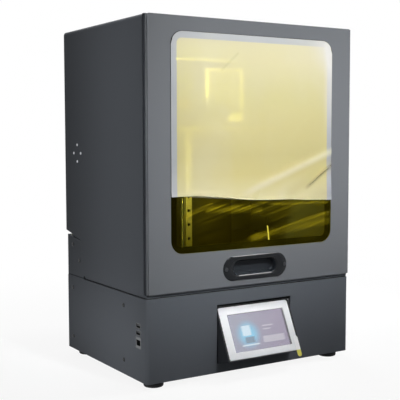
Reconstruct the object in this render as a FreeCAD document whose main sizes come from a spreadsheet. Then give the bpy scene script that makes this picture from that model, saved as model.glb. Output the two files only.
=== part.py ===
"""Resin printer: sheet-metal base and hood, lifting platform, resin vat and touch screen.

Millimetres. X runs to the right, the front faces -Y and Z is up. The pieces are drawn about the middle of
the body, on the underside of the base, and are then placed so that the origin is under the middle of the
whole object.
"""
import FreeCAD, Part
import math
import os
import Sketcher
from types import SimpleNamespace

Vector = FreeCAD.Vector

# Every driving size, in millimetres or degrees.
SIZES = [
    # body
    ("hood_width", 384),
    ("hood_depth", 280),
    ("body_height", 530),
    ("base_height", 124),
    ("base_inset", 1.5),
    ("neck_height", 6),
    ("neck_inset", 7),
    ("neck_width", 12),
    ("seal_height", 2),
    ("seal_width", 8),
    ("steel_sheet", 1.5),
    ("bend_radius", 6),
    ("deck_thickness", 4),
    ("running_clearance", 0.06),
    ("assembly_clearance", 0.2),
    # feet and sheet screws
    ("foot_height", 10),
    ("foot_diameter", 30),
    ("foot_inset", 24),
    ("foot_stud_diameter", 6),
    ("foot_stud_length", 8),
    ("screw_head_diameter", 7),
    ("screw_head_height", 1.2),
    ("screw_shank_diameter", 3),
    ("screw_length", 5),
    ("side_screw_rear", 118),
    ("side_screw_front", 66.5),
    ("side_screw_high", 105),
    ("side_screw_low", 22),
    ("vent_slot_width", 4),
    ("vent_slot_height", 34),
    ("vent_pitch", 10),
    ("vent_low", 44),
    ("vent_start", 10),
    ("vent_count", 6),
    # sockets on the left side
    ("port_front_gap", 25.5),
    ("usb_width", 14.4),
    ("usb_height", 7.6),
    ("usb_upper", 82),
    ("usb_lower", 71.5),
    ("usb_tongue_height", 1.8),
    ("network_width", 15.6),
    ("network_height", 17),
    ("network_middle", 57),
    ("network_mouth_width", 11.8),
    ("network_mouth_height", 8.4),
    ("port_wall", 0.9),
    ("port_depth", 14),
    ("port_mouth_depth", 11),
    ("board_thickness", 1.6),
    ("port_board_width", 30),
    ("port_board_margin", 8),
    ("board_post_diameter", 5),
    ("board_post_inset", 4),
    # touch screen
    ("console_reach", 29),
    ("console_low", 22.8),
    ("console_tilt", 25.5),
    ("console_under", 14),
    ("console_width", 137),
    ("console_depth", 24),
    ("console_wall", 6),
    ("glass_length", 84.5),
    ("glass_width", 132),
    ("glass_thickness", 3),
    ("display_width", 106),
    ("display_length", 59),
    ("display_thickness", 3),
    ("display_low", 12),
    ("display_shift", 0.8),
    ("slot_margin", 1.5),
    ("slot_above", 5),
    ("tab_width", 6),
    ("tab_length", 33),
    ("tab_overhang", 9),
    ("tab_thickness", 0.4),
    ("tab_shift", 63),
    # hood
    ("front_proud", 7),
    ("front_inset", 4.5),
    ("front_radius", 3),
    ("hood_flange", 18),
    ("rim_width", 20),
    ("rim_front_width", 10),
    ("pane_width", 300),
    ("pane_low", 186.5),
    ("pane_top_margin", 21.5),
    ("pane_radius", 20),
    ("pane_thickness", 2),
    ("border_width", 10),
    ("border_overlap", 10),
    ("border_thickness", 2),
    ("clear_radius", 8),
    ("film_inset", 1.5),
    ("film_thickness", 0.4),
    ("film_low", 262),
    ("handle_length", 120),
    ("handle_height", 38),
    ("handle_middle", 157),
    ("handle_flange", 1.5),
    ("cup_length", 81),
    ("cup_height", 22),
    ("cup_depth", 13),
    ("cup_wall", 1.5),
    ("handle_screw_place", 55),
    ("handle_screw_diameter", 6),
    ("diamond_radius", 13.5),
    ("diamond_place", 91),
    ("diamond_height", 330),
    ("diamond_head", 4.5),
    ("diamond_proud", 0.8),
    # hinges
    ("hinge_height", 198),
    ("hinge_behind", 2),
    ("hinge_side_gap", 72),
    ("hinge_width", 60),
    ("hinge_leaf", 1.5),
    ("hinge_leaf_height", 36),
    ("hinge_gap", 4.5),
    ("knuckle_radius", 3.2),
    ("knuckle_share", 20),
    ("pin_radius", 1.5),
    ("ear_front_low", 76),
    ("ear_front_high", 86),
    ("ear_fall", 6.5),
    ("ear_below_hinge", 5),
    ("ear_setback", 0.5),
    ("ear_gap", 2.5),
    ("ear_rear_gap", 7.5),
    ("ear_screw_rear_y", 117.5),
    ("ear_screw_rear_drop", 16),
    ("ear_screw_front_y", 92),
    ("ear_screw_front_drop", 33.5),
    ("beam_foot_width", 50),
    ("beam_foot_depth", 20),
    # tower and lift
    ("tower_width", 248),
    ("tower_rear_gap", 3),
    ("tower_thickness", 6),
    ("tower_headroom", 33.5),
    ("tower_foot_depth", 26),
    ("tower_foot_thickness", 6),
    ("gusset_height", 170),
    ("gusset_thickness", 6),
    ("rail_place", 27),
    ("rail_width", 12),
    ("rail_height", 8),
    ("rail_low", 134),
    ("rail_top_margin", 31),
    ("rail_pitch", 25),
    ("rail_first_hole", 15),
    ("rail_hole_diameter", 3.5),
    ("rail_head_diameter", 6),
    ("rail_head_depth", 4),
    ("block_width", 27),
    ("block_length", 45),
    ("block_top", 13),
    ("block_lift", 3),
    ("carriage_top_margin", 24),
    ("carriage_height", 50),
    ("carriage_width", 88),
    ("carriage_thickness", 7),
    ("screw_reach", 28),
    ("lead_diameter", 8),
    ("lead_end", 4),
    ("lead_hole_clearance", 1),
    ("journal_diameter", 5),
    ("journal_top", 142),
    ("journal_bottom", 100),
    ("coupler_diameter", 19),
    ("coupler_low", 126.5),
    ("coupler_length", 25),
    ("nut_width", 28),
    ("nut_lift", 14),
    ("nut_height", 16),
    ("nut_front", 14),
    ("motor_width", 42),
    ("motor_length", 40),
    ("motor_boss_diameter", 22),
    ("motor_boss_height", 2),
    ("bearing_block_width", 36),
    ("bearing_block_gap", 9),
    ("bearing_block_height", 16),
    ("bearing_block_front", 16),
    ("bearing_diameter", 22),
    ("bearing_height", 7),
    # platform
    ("platform_width", 216),
    ("platform_depth", 106),
    ("platform_reach", 79),
    ("platform_thickness", 8),
    ("stem_width", 60),
    ("stem_depth", 44),
    ("stem_height", 18),
    ("arm_width", 72),
    ("arm_thickness", 6),
    ("arm_lift", 1),
    ("arm_web", 6),
    ("arm_web_height", 34),
    ("arm_web_front", 12),
    ("arm_slot_width", 34),
    ("knob_shaft_diameter", 8),
    ("knob_reach", 10),
    ("knob_diameter", 36),
    ("knob_height", 20),
    ("knob_seat", 0.3),
    ("knob_flutes", 8),
    ("flute_diameter", 8),
    ("level_screw_x", 24),
    ("level_screw_y", 15),
    ("level_screw_head", 7),
    ("level_screw_height", 3.5),
    ("level_screw_shank", 4),
    # vat and light
    ("vat_side_wall", 10),
    ("vat_end_wall", 8),
    ("vat_clearance", 6),
    ("vat_height", 26),
    ("vat_radius", 12),
    ("vat_film_thickness", 0.5),
    ("vat_film_gap", 0.3),
    ("lug_length", 24),
    ("lug_width", 20),
    ("lug_height", 8),
    ("lug_knob_place", 12),
    ("thumb_shaft_diameter", 6),
    ("thumb_diameter", 22),
    ("thumb_height", 14),
    ("thumb_flutes", 12),
    ("thumb_flute_diameter", 4),
    ("lcd_margin", 6),
    ("lcd_thickness", 2.5),
    ("lcd_view_margin", 8),
    ("reflector_wall", 2),
    ("reflector_margin", 6),
    ("led_board_top", 30),
    ("sink_base", 6),
    ("sink_width", 170),
    ("sink_depth", 100),
    ("sink_fin", 2.5),
    ("sink_fin_pitch", 10),
    # electrics
    ("control_width", 56),
    ("control_depth", 120),
    ("control_side_gap", 8),
    ("control_front", 70),
    ("control_lift", 8),
    ("supply_width", 64),
    ("supply_depth", 150),
    ("supply_height", 40),
    ("supply_side_gap", 6),
    ("supply_front", 70),
    ("supply_step_depth", 14),
    ("supply_step_height", 18),
    ("fan_side_gap", 119),
    ("fan_height", 62),
    ("fan_size", 60),
    ("fan_depth", 15),
    ("fan_bore_diameter", 57),
    ("fan_hub_diameter", 25),
    ("fan_stator_depth", 4),
    ("fan_strut", 4),
    ("fan_tip_gap", 1),
    ("fan_shaft_diameter", 4),
    ("fan_blades", 7),
    ("fan_blade_thickness", 1.8),
    ("fan_blade_pitch", 40),
    ("guard_thickness", 1.6),
    ("guard_wire", 1.8),
    ("guard_step", 7),
    ("inlet_side_gap", 59),
    ("inlet_height", 44),
    ("inlet_width", 28),
    ("inlet_tall", 20),
    ("inlet_flange", 5),
    ("inlet_flange_thickness", 2.5),
    ("inlet_depth", 20),
    ("inlet_mouth_width", 24.4),
    ("inlet_mouth_tall", 16.4),
    ("inlet_mouth_depth", 16),
    ("inlet_pin_width", 2),
    ("inlet_pin_tall", 4),
    ("inlet_pin_pitch", 7),
    ("switch_height", 88),
    ("switch_width", 14),
    ("switch_tall", 22),
    ("switch_flange", 3),
    ("switch_flange_thickness", 2),
    ("switch_depth", 12),
    ("switch_wall", 1.5),
    ("rocker_swing", 8),
    ("rocker_gap", 0.8),
    ("rocker_depth", 7),
    ("rocker_pin_diameter", 3),
    ("rocker_pin_reach", 0.8),
]

OVERSHOOT = 1.0
PRIMITIVES = ("Part::Box", "Part::Cylinder")


class Size:
    """A length or angle: its formula on the sheet, and what that comes to now."""

    def __init__(self, formula, value):
        self.formula = formula
        self.value = value

    @staticmethod
    def of(thing):
        return thing if isinstance(thing, Size) else Size(repr(float(thing)), float(thing))

    def __add__(self, other):
        other = Size.of(other)
        return Size(f"({self.formula} + {other.formula})", self.value + other.value)

    def __sub__(self, other):
        other = Size.of(other)
        return Size(f"({self.formula} - {other.formula})", self.value - other.value)

    def __mul__(self, other):
        other = Size.of(other)
        return Size(f"({self.formula} * {other.formula})", self.value * other.value)

    def __truediv__(self, other):
        other = Size.of(other)
        return Size(f"({self.formula} / {other.formula})", self.value / other.value)

    def __neg__(self):
        return Size(f"(-1 * {self.formula})", -self.value)

    def __radd__(self, other):
        return Size.of(other) + self

    def __rsub__(self, other):
        return Size.of(other) - self

    def __rmul__(self, other):
        return Size.of(other) * self


ZERO = Size.of(0)


def sine(angle):
    return Size(f"sin({angle.formula})", math.sin(math.radians(angle.value)))


def cosine(angle):
    return Size(f"cos({angle.formula})", math.cos(math.radians(angle.value)))


def fill_sheet():
    """Write the driving sizes to the sheet and return them by name."""
    sheet = doc.addObject("Spreadsheet::Sheet", "Sizes")
    named = {}
    for row, (alias, value) in enumerate(SIZES, start=1):
        sheet.set(f"A{row}", alias)
        sheet.set(f"B{row}", str(value))
        sheet.setAlias(f"B{row}", alias)
        named[alias] = Size(f"Sizes.{alias}", float(value))
    doc.recompute()
    return SimpleNamespace(**named)


def bind(thing, prop, size):
    thing.setExpression(prop, Size.of(size).formula)


def move(thing, x, y, z):
    for axis, size in zip("xyz", (x, y, z)):
        bind(thing, f"Placement.Base.{axis}", size)


def block(x, y, z):
    """A box between two places on each axis."""
    box = doc.addObject("Part::Box", "Block")
    for prop, (low, high) in zip(("Length", "Width", "Height"), (x, y, z)):
        bind(box, prop, high - low)
    move(box, x[0], y[0], z[0])
    return box


TURN_TO_AXIS = {
    "X": FreeCAD.Rotation(Vector(0, 1, 0), 90),
    "Y": FreeCAD.Rotation(Vector(1, 0, 0), -90),
    "Z": FreeCAD.Rotation(),
}


def rod(axis, diameter, across, along):
    """A round bar along an axis, at a place across it, between two places along it."""
    bar = doc.addObject("Part::Cylinder", "Rod")
    bar.Placement = FreeCAD.Placement(Vector(), TURN_TO_AXIS[axis])
    bind(bar, "Radius", diameter / 2)
    bind(bar, "Height", along[1] - along[0])
    first, second = across
    start = {"X": (along[0], first, second), "Y": (first, along[0], second), "Z": (first, second, along[0])}
    move(bar, *start[axis])
    return bar


def join(*solids):
    """One solid made of several that meet."""
    whole = doc.addObject("Part::MultiFuse", "Join")
    whole.Shapes = list(solids)
    whole.Refine = True
    return whole


def group(*solids):
    """Separate solids that share a node."""
    together = doc.addObject("Part::Compound", "Group")
    together.Links = list(solids)
    return together


def cut(solid, *tools):
    """A solid less every tool."""
    result = doc.addObject("Part::Cut", "Cut")
    result.Base = solid
    result.Tool = tools[0] if len(tools) == 1 else group(*tools)
    return result


def overlap(*solids):
    """What all the solids share."""
    shared = doc.addObject("Part::MultiCommon", "Overlap")
    shared.Shapes = list(solids)
    return shared


def pin_point(sketch, geometry, position, x, y):
    """Hold a sketch point at two sizes from the sketch's origin."""
    for kind, size in (("DistanceX", x), ("DistanceY", y)):
        size = Size.of(size)
        index = sketch.addConstraint(Sketcher.Constraint(kind, -1, 1, geometry, position, size.value))
        sketch.setExpression(f"Constraints[{index}]", size.formula)


def outline(sketch, corners):
    """A closed outline, anticlockwise, of straight sides; a corner's third value rounds it."""
    places = [Vector(Size.of(corner[0]).value, Size.of(corner[1]).value, 0) for corner in corners]
    radii = [Size.of(corner[2]) if len(corner) > 2 else None for corner in corners]
    count = len(corners)
    entries, exits, arcs = [], [], []
    for index, place in enumerate(places):
        radius = radii[index]
        if radius is None:
            entries.append(place)
            exits.append(place)
            arcs.append(None)
            continue
        back = (places[index - 1] - place).normalize()
        ahead = (places[(index + 1) % count] - place).normalize()
        half = back.getAngle(ahead) / 2
        reach = radius.value / math.tan(half)
        centre = place + (back + ahead).normalize() * (radius.value / math.sin(half))
        enter, leave = place + back * reach, place + ahead * reach
        left_turn = (-back).cross(ahead).z > 0
        first, last = (enter, leave) if left_turn else (leave, enter)
        start = math.atan2(first.y - centre.y, first.x - centre.x)
        end = math.atan2(last.y - centre.y, last.x - centre.x)
        if end < start:
            end += 2 * math.pi
        circle = Part.Circle(centre, Vector(0, 0, 1), radius.value)
        arcs.append((Part.ArcOfCircle(circle, start, end), 1 if left_turn else 2))
        entries.append(enter)
        exits.append(leave)
    sides = []
    for index in range(count):
        side = Part.LineSegment(exits[index], entries[(index + 1) % count])
        sides.append(sketch.addGeometry(side, False))
    for index, (x, y, *_) in enumerate(corners):
        arriving, leaving = sides[index - 1], sides[index]
        if arcs[index] is None:
            sketch.addConstraint(Sketcher.Constraint("Coincident", arriving, 2, leaving, 1))
            pin_point(sketch, leaving, 1, x, y)
            continue
        arc, enter_end = arcs[index]
        bend = sketch.addGeometry(arc, False)
        corner = sketch.addGeometry(Part.Point(places[index]), True)
        sketch.addConstraint(Sketcher.Constraint("Tangent", arriving, 2, bend, enter_end))
        sketch.addConstraint(Sketcher.Constraint("Tangent", bend, 3 - enter_end, leaving, 1))
        held = sketch.addConstraint(Sketcher.Constraint("Radius", bend, radii[index].value))
        sketch.setExpression(f"Constraints[{held}]", radii[index].formula)
        sketch.addConstraint(Sketcher.Constraint("PointOnObject", corner, 1, arriving))
        sketch.addConstraint(Sketcher.Constraint("PointOnObject", corner, 1, leaving))
        pin_point(sketch, corner, 1, x, y)


def rectangle(x, y, radius=None):
    """The corners of a rectangle, all rounded alike where a radius is given."""
    corners = [(x[0], y[0]), (x[1], y[0]), (x[1], y[1]), (x[0], y[1])]
    return corners if radius is None else [(*corner, radius) for corner in corners]


PLANE_SIGN = {"XY": 1, "XZ": -1, "YZ": 1}


def prism(plane, outlines, along):
    """A body padded square to a plane between two places; outlines after the first are holes."""
    body = doc.addObject("PartDesign::Body", "Body")
    sketch = body.newObject("Sketcher::SketchObject", "Sketch")
    origin = next(f for f in body.Origin.OriginFeatures if f.Role == f"{plane}_Plane")
    sketch.AttachmentSupport = [(origin, "")]
    sketch.MapMode = "FlatFace"
    start = along[0] if PLANE_SIGN[plane] > 0 else -Size.of(along[1])
    bind(sketch, "AttachmentOffset.Base.z", start)
    for corners in outlines:
        outline(sketch, corners)
    pad = body.newObject("PartDesign::Pad", "Pad")
    pad.Profile = sketch
    bind(pad, "Length", Size.of(along[1]) - along[0])
    return body


def mirrored(solid):
    """The same piece on the other side of the middle plane."""
    twin = doc.addObject("Part::Mirroring", "Mirror")
    twin.Source = solid
    twin.Normal = Vector(1, 0, 0)
    return twin


def pair(solid):
    """A solid and its mirror image, as a group."""
    return group(solid, mirrored(solid))


pieces = []


def piece(name, shape):
    """Name a finished piece and stand it in the object's own frame."""
    part = group(shape) if shape.TypeId in PRIMITIVES else shape
    part.Label = name
    bind(part, "Placement.Base.y", -(front_reach + rear_reach) / 2)
    bind(part, "Placement.Base.z", d.foot_height)
    pieces.append(part)
    return part


doc = FreeCAD.newDocument("ResinPrinter")
d = fill_sheet()

# Planes that many pieces share.
hood_x = d.hood_width / 2
hood_y = d.hood_depth / 2
base_x = hood_x - d.base_inset
base_y = hood_y - d.base_inset
inner_x = base_x - d.steel_sheet
inner_y = base_y - d.steel_sheet
inner_bend = d.bend_radius - d.steel_sheet
hood_low = d.base_height + d.neck_height
flange_front = -hood_y + d.front_proud
pane_top = d.body_height - d.pane_top_margin
deck_top = d.base_height
deck_low = deck_top - d.deck_thickness
hinge_y = hood_y + d.hinge_behind
hinge_place = hood_x - d.hinge_side_gap
port_place = base_y - d.port_front_gap
inlet_place = inner_x - d.inlet_side_gap
fan_place = inner_x - d.fan_side_gap
tower_face = inner_y - d.tower_rear_gap - d.tower_foot_depth
screw_place = tower_face - d.screw_reach
platform_middle = screw_place - d.platform_reach
ear_rear_top = d.hinge_height - d.ear_below_hinge
ear_front_top = ear_rear_top - d.ear_fall
vat_front = platform_middle - d.platform_depth / 2 - d.vat_clearance
vat_rear = platform_middle + d.platform_depth / 2 + d.vat_clearance
vat_half = d.platform_width / 2 + d.vat_clearance
lcd_top = deck_top + d.lcd_thickness
tower_top = d.body_height - d.steel_sheet - d.tower_headroom
rail_top = tower_top - d.rail_top_margin
carriage_top = rail_top - d.carriage_top_margin
carriage_low = carriage_top - d.carriage_height
arm_low = carriage_low + d.arm_lift
arm_top = arm_low + d.arm_thickness
platform_top = arm_low - d.stem_height
platform_low = platform_top - d.platform_thickness
block_face = tower_face - d.block_top
carriage_front = block_face - d.carriage_thickness
neck_rear = d.ear_front_low - 2 * d.ear_gap


def slope(along, out):
    """A point of the tilted screen: along its face from the lower edge, and out from its glass."""
    lean, rise = sine(d.console_tilt), cosine(d.console_tilt)
    y = -(hood_y + d.console_reach) + along * lean - out * rise
    z = d.console_low + along * rise + out * lean
    return y, z


front_reach = slope(-d.tab_overhang, d.tab_thickness)[0]
rear_reach = hinge_y + d.knuckle_radius


def slope_block(x, along, out):
    """A box set square to the tilted screen."""
    low, high = along
    inner, outer = out
    return prism("YZ", [[slope(low, inner), slope(high, inner), slope(high, outer), slope(low, outer)]], x)


def u_ring(half_x, front, rear, side, front_width, z):
    """A flat U-shaped strip round the front and sides."""
    outer = [(-half_x, rear), (-half_x, front), (half_x, front), (half_x, rear)]
    inside = half_x - side
    inner = [(inside, rear), (inside, front + front_width), (-inside, front + front_width), (-inside, rear)]
    return prism("XY", [outer + inner], z)


def side_screw(y, z, diameter, head, surface):
    """A screw in the left side, its head out from the surface at that x."""
    cap = rod("X", diameter, (y, z), (surface - head, surface))
    shank = rod("X", d.screw_shank_diameter, (y, z), (surface, surface + d.screw_length))
    return join(cap, shank)


def side_hole(y, z):
    """A hole for such a screw, right through both sides."""
    span = hood_x + OVERSHOOT
    return rod("X", d.screw_shank_diameter, (y, z), (-span, span))


BASE_SCREWS = [(d.side_screw_rear, d.side_screw_high), (d.side_screw_rear, d.side_screw_low),
               (-d.side_screw_front, d.side_screw_high), (-d.side_screw_front, d.side_screw_low)]
USB_HEIGHTS = [d.usb_upper, d.usb_lower]


def base_wrap():
    """Front and both sides of the base, bent from one sheet."""
    plan = [(-base_x, base_y), (-base_x, -base_y, d.bend_radius), (base_x, -base_y, d.bend_radius),
            (base_x, base_y), (inner_x, base_y), (inner_x, -inner_y, inner_bend),
            (-inner_x, -inner_y, inner_bend), (-inner_x, base_y)]
    wrap = prism("XY", [plan], (0, d.base_height))
    slot_x = d.console_width / 2 + d.slot_margin
    slot_top = slope(d.glass_length, 0)[1] + d.slot_above
    through_y = (-base_y - OVERSHOOT, -inner_y + OVERSHOOT)
    tools = [block((-slot_x, slot_x), through_y, (d.console_under, slot_top))]
    through_x = (-base_x - OVERSHOOT, -inner_x + OVERSHOOT)
    sockets = [(d.usb_width, d.usb_height, z) for z in USB_HEIGHTS]
    sockets.append((d.network_width, d.network_height, d.network_middle))
    for width, height, z in sockets:
        half = width / 2 + d.assembly_clearance
        rise = height / 2 + d.assembly_clearance
        tools.append(block(through_x, (-port_place - half, -port_place + half), (z - rise, z + rise)))
    for y, z in BASE_SCREWS:
        tools.append(side_hole(y, z))
    for number in range(int(d.vent_count.value)):
        start = d.vent_start + number * d.vent_pitch
        tools.append(block((inner_x - OVERSHOOT, base_x + OVERSHOOT), (start, start + d.vent_slot_width),
                           (d.vent_low, d.vent_low + d.vent_slot_height)))
    return piece("base_wrap", cut(wrap, *tools))


def base_plan():
    """The plan of the space inside the base's walls."""
    return [(-inner_x, -inner_y, inner_bend), (inner_x, -inner_y, inner_bend), (inner_x, inner_y),
            (-inner_x, inner_y)]


def foot_places():
    x, y = base_x - d.foot_inset, base_y - d.foot_inset
    return [(-x, -y), (x, -y), (-x, y), (x, y)]


def bottom_plate():
    """Floor of the base, with a hole for each foot's stud."""
    plate = prism("XY", [base_plan()], (0, d.steel_sheet))
    holes = [rod("Z", d.foot_stud_diameter, place, (Size.of(-OVERSHOOT), d.steel_sheet + OVERSHOOT))
             for place in foot_places()]
    piece("bottom_plate", cut(plate, *holes))


def feet():
    """Four round feet, each with a stud through the floor."""
    whole = []
    for place in foot_places():
        pad = rod("Z", d.foot_diameter, place, (-d.foot_height, ZERO))
        stud = rod("Z", d.foot_stud_diameter, place, (ZERO, d.foot_stud_length))
        whole.append(join(pad, stud))
    piece("feet", group(*whole))


def base_back_panel():
    """Rear wall of the base, with the fan, inlet and switch openings."""
    panel = block((-inner_x, inner_x), (inner_y, base_y), (ZERO, d.base_height))
    through = (inner_y - OVERSHOOT, base_y + OVERSHOOT)
    fan_hole = rod("Y", d.fan_bore_diameter, (fan_place, d.fan_height), through)
    tools = [fan_hole]
    for width, tall, z in ((d.inlet_width, d.inlet_tall, d.inlet_height),
                           (d.switch_width, d.switch_tall, d.switch_height)):
        half, rise = width / 2 + d.assembly_clearance, tall / 2 + d.assembly_clearance
        tools.append(block((-inlet_place - half, -inlet_place + half), through, (z - rise, z + rise)))
    piece("base_back_panel", cut(panel, *tools))


def deck_plate():
    """Top of the base, with the light opening, the lead screw's hole and the vat knobs' holes."""
    plate = prism("XY", [base_plan()], (deck_low, deck_top))
    through = (deck_low - OVERSHOOT, deck_top + OVERSHOOT)
    view_x = vat_half - d.lcd_margin - d.lcd_view_margin
    view = block((-view_x, view_x), (vat_front + d.lcd_margin + d.lcd_view_margin,
                                     vat_rear - d.lcd_margin - d.lcd_view_margin), through)
    boss_hole = rod("Z", d.motor_boss_diameter + 2 * d.assembly_clearance, (ZERO, screw_place), through)
    thumb_holes = [rod("Z", d.thumb_shaft_diameter + 2 * d.running_clearance, place, through)
                   for place in thumb_places().values()]
    piece("deck_plate", cut(plate, view, boss_hole, *thumb_holes))


def neck():
    """Recessed frame between base and hood, and the soft seal that the hood lands on."""
    neck_x, neck_front = base_x - d.neck_inset, -base_y + d.neck_inset
    frame_top = hood_low - d.seal_height
    frame = u_ring(neck_x, neck_front, neck_rear, d.neck_width, d.neck_width, (deck_top, frame_top))
    piece("neck_frame", frame)
    inset = d.neck_width - d.seal_width
    seal = u_ring(neck_x - inset / 2, neck_front + inset / 2, neck_rear, d.seal_width, d.seal_width,
                  (frame_top, hood_low))
    piece("hood_seal", seal)


def hinge_beam():
    """Fixed rear upstand: a back wall with an ear at each side, and feet on the deck."""
    ear_x = base_x - d.ear_setback
    wall = block((-ear_x, ear_x), (inner_y, base_y), (deck_top, ear_rear_top))
    side = [(d.ear_front_low, deck_top), (base_y, deck_top), (base_y, ear_rear_top),
            (d.ear_front_high, ear_front_top)]
    ear = prism("YZ", [side], (-ear_x, -ear_x + d.steel_sheet))
    screws = [rod("X", d.screw_shank_diameter, place, (-ear_x - OVERSHOOT, ear_x + OVERSHOOT))
              for place in ear_screw_places()]
    foot = block((-ear_x, -ear_x + d.beam_foot_width), (base_y - d.beam_foot_depth, base_y),
                 (deck_top, deck_top + d.steel_sheet))
    half = join(ear, foot)
    piece("hinge_beam", cut(join(wall, half, mirrored(half)), *screws))


def ear_screw_places():
    return [(d.ear_screw_rear_y, ear_rear_top - d.ear_screw_rear_drop),
            (d.ear_screw_front_y, ear_front_top - d.ear_screw_front_drop)]


def screws():
    """Sheet screws, heads outside: base sides, ears and hood sides."""
    ear_x = base_x - d.ear_setback
    places = [(place, -base_x) for place in BASE_SCREWS]
    places += [(place, -ear_x) for place in ear_screw_places()]
    fixed = group(*[side_screw(y, z, d.screw_head_diameter, d.screw_head_height, surface)
                    for (y, z), surface in places])
    piece("base_screws", group(fixed, mirrored(fixed)))
    diamond = group(*[side_screw(y, z, d.diamond_head, d.diamond_proud, -hood_x)
                      for y, z in diamond_places()])
    piece("hood_side_screws", group(diamond, mirrored(diamond)))


def diamond_places():
    step = d.diamond_radius
    return [(d.diamond_place + y * step, d.diamond_height + z * step)
            for y, z in ((1, 0), (0, 1), (-1, 0), (0, -1))]


def hinges():
    """Two butt hinges: a leaf on the beam with the outer knuckles, a leaf on the hood with the middle one."""
    half = d.hinge_width / 2
    middle = d.knuckle_share / 2
    axis = (hinge_y, d.hinge_height)
    left, right = hinge_place - half, hinge_place + half
    fixed = [block((left, right), (base_y, base_y + d.hinge_leaf),
                   (d.hinge_height - d.hinge_gap - d.hinge_leaf_height, d.hinge_height - d.hinge_gap))]
    for low, high in ((left, hinge_place - middle - d.assembly_clearance),
                      (hinge_place + middle + d.assembly_clearance, right)):
        fixed.append(block((low, high), (base_y, base_y + d.hinge_leaf),
                           (d.hinge_height - d.hinge_gap, d.hinge_height)))
        fixed.append(rod("X", 2 * d.knuckle_radius, axis, (low, high)))
    past = (left - OVERSHOOT, right + OVERSHOOT)
    fixed_bore = rod("X", 2 * d.pin_radius, axis, past)
    piece("hinge_leaves_fixed", pair(cut(join(*fixed), fixed_bore)))
    piece("hinge_pins", pair(rod("X", 2 * d.pin_radius, axis, (left, right))))
    low, high = hinge_place - middle, hinge_place + middle
    leaf = (hood_y, hood_y + d.hinge_leaf)
    swinging = [block((left, right), leaf, (d.hinge_height + d.hinge_gap,
                                            d.hinge_height + d.hinge_gap + d.hinge_leaf_height)),
                block((low, high), leaf, (d.hinge_height, d.hinge_height + d.hinge_gap)),
                rod("X", 2 * d.knuckle_radius, axis, (low, high))]
    running_bore = rod("X", 2 * (d.pin_radius + d.running_clearance), axis, past)
    piece("hinge_leaves_hood", pair(cut(join(*swinging), running_bore)))


def console():
    """Tilted screen: housing through the front, cover glass, display and the tab of its film."""
    half = d.console_width / 2
    rear = -base_y + d.console_depth
    top_y, top_z = slope(d.glass_length, 0)
    profile = [slope(ZERO, ZERO), (-base_y, d.console_under), (rear, d.console_under), (rear, top_z),
               (top_y, top_z)]
    shell = prism("YZ", [profile], (-half, half))
    wall = d.console_wall
    hollow = [(-base_y, d.console_under + wall), (rear + OVERSHOOT, d.console_under + wall),
              (rear + OVERSHOOT, slope(d.glass_length - wall, -wall)[1]), slope(d.glass_length - wall, -wall),
              slope(2 * wall, -wall)]
    inside = prism("YZ", [hollow], (-half + wall / 2, half - wall / 2))
    glass_x = d.glass_width / 2
    edge = (d.console_width - d.glass_width) / 4
    seat = (edge, d.glass_length - edge)
    recess = slope_block((-glass_x, glass_x), seat, (-d.glass_thickness, Size.of(OVERSHOOT)))
    display_x = (d.display_shift - d.display_width / 2, d.display_shift + d.display_width / 2)
    display_s = (d.display_low, d.display_low + d.display_length)
    window = slope_block(display_x, display_s, (-wall - OVERSHOOT, ZERO))
    piece("console_housing", cut(shell, inside, recess, window))
    piece("touch_glass", slope_block((-glass_x, glass_x), seat, (-d.glass_thickness, ZERO)))
    piece("display_panel", slope_block(display_x, display_s,
                                       (-d.glass_thickness - d.display_thickness, -d.glass_thickness)))
    piece("screen_film_tab", slope_block((d.tab_shift - d.tab_width / 2, d.tab_shift + d.tab_width / 2),
                                         (-d.tab_overhang, d.tab_length - d.tab_overhang),
                                         (ZERO, d.tab_thickness)))


def ports():
    """USB and network sockets behind the left side, on their own board."""
    outer, inner = -base_x, -base_x + d.port_depth
    mouth = (-base_x - OVERSHOOT, -base_x + d.port_mouth_depth)
    place = -port_place
    usb_ports = []
    for z in USB_HEIGHTS:
        half, rise = d.usb_width / 2, d.usb_height / 2
        shell = block((outer, inner), (place - half, place + half), (z - rise, z + rise))
        wall = d.port_wall
        hollow = block(mouth, (place - half + wall, place + half - wall), (z - rise + wall, z + rise - wall))
        tongue_y = (place - half + 2 * wall, place + half - 2 * wall)
        tongue = block((outer + wall, inner), tongue_y, (z, z + d.usb_tongue_height))
        usb_ports.append(join(cut(shell, hollow), tongue))
    piece("usb_ports", group(*usb_ports))
    z, half, rise = d.network_middle, d.network_width / 2, d.network_height / 2
    shell = block((outer, inner), (place - half, place + half), (z - rise, z + rise))
    mouth_x, mouth_z = d.network_mouth_width / 2, d.network_mouth_height / 2
    hollow = block(mouth, (place - mouth_x, place + mouth_x), (z - mouth_z, z + mouth_z))
    piece("ethernet_port", cut(shell, hollow))
    board = (inner, inner + d.board_thickness)
    half = d.port_board_width / 2
    low = d.network_middle - rise - d.port_board_margin
    high = d.usb_upper + d.usb_height / 2 + d.port_board_margin
    plate = block(board, (place - half, place + half), (low, high))
    posts = []
    for y in (place - half + d.board_post_inset, place + half - d.board_post_inset):
        for z in (low + d.board_post_inset, high - d.board_post_inset):
            posts.append(rod("X", d.board_post_diameter, (y, z), (-inner_x, inner)))
    piece("io_board", join(plate, *posts))


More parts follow.
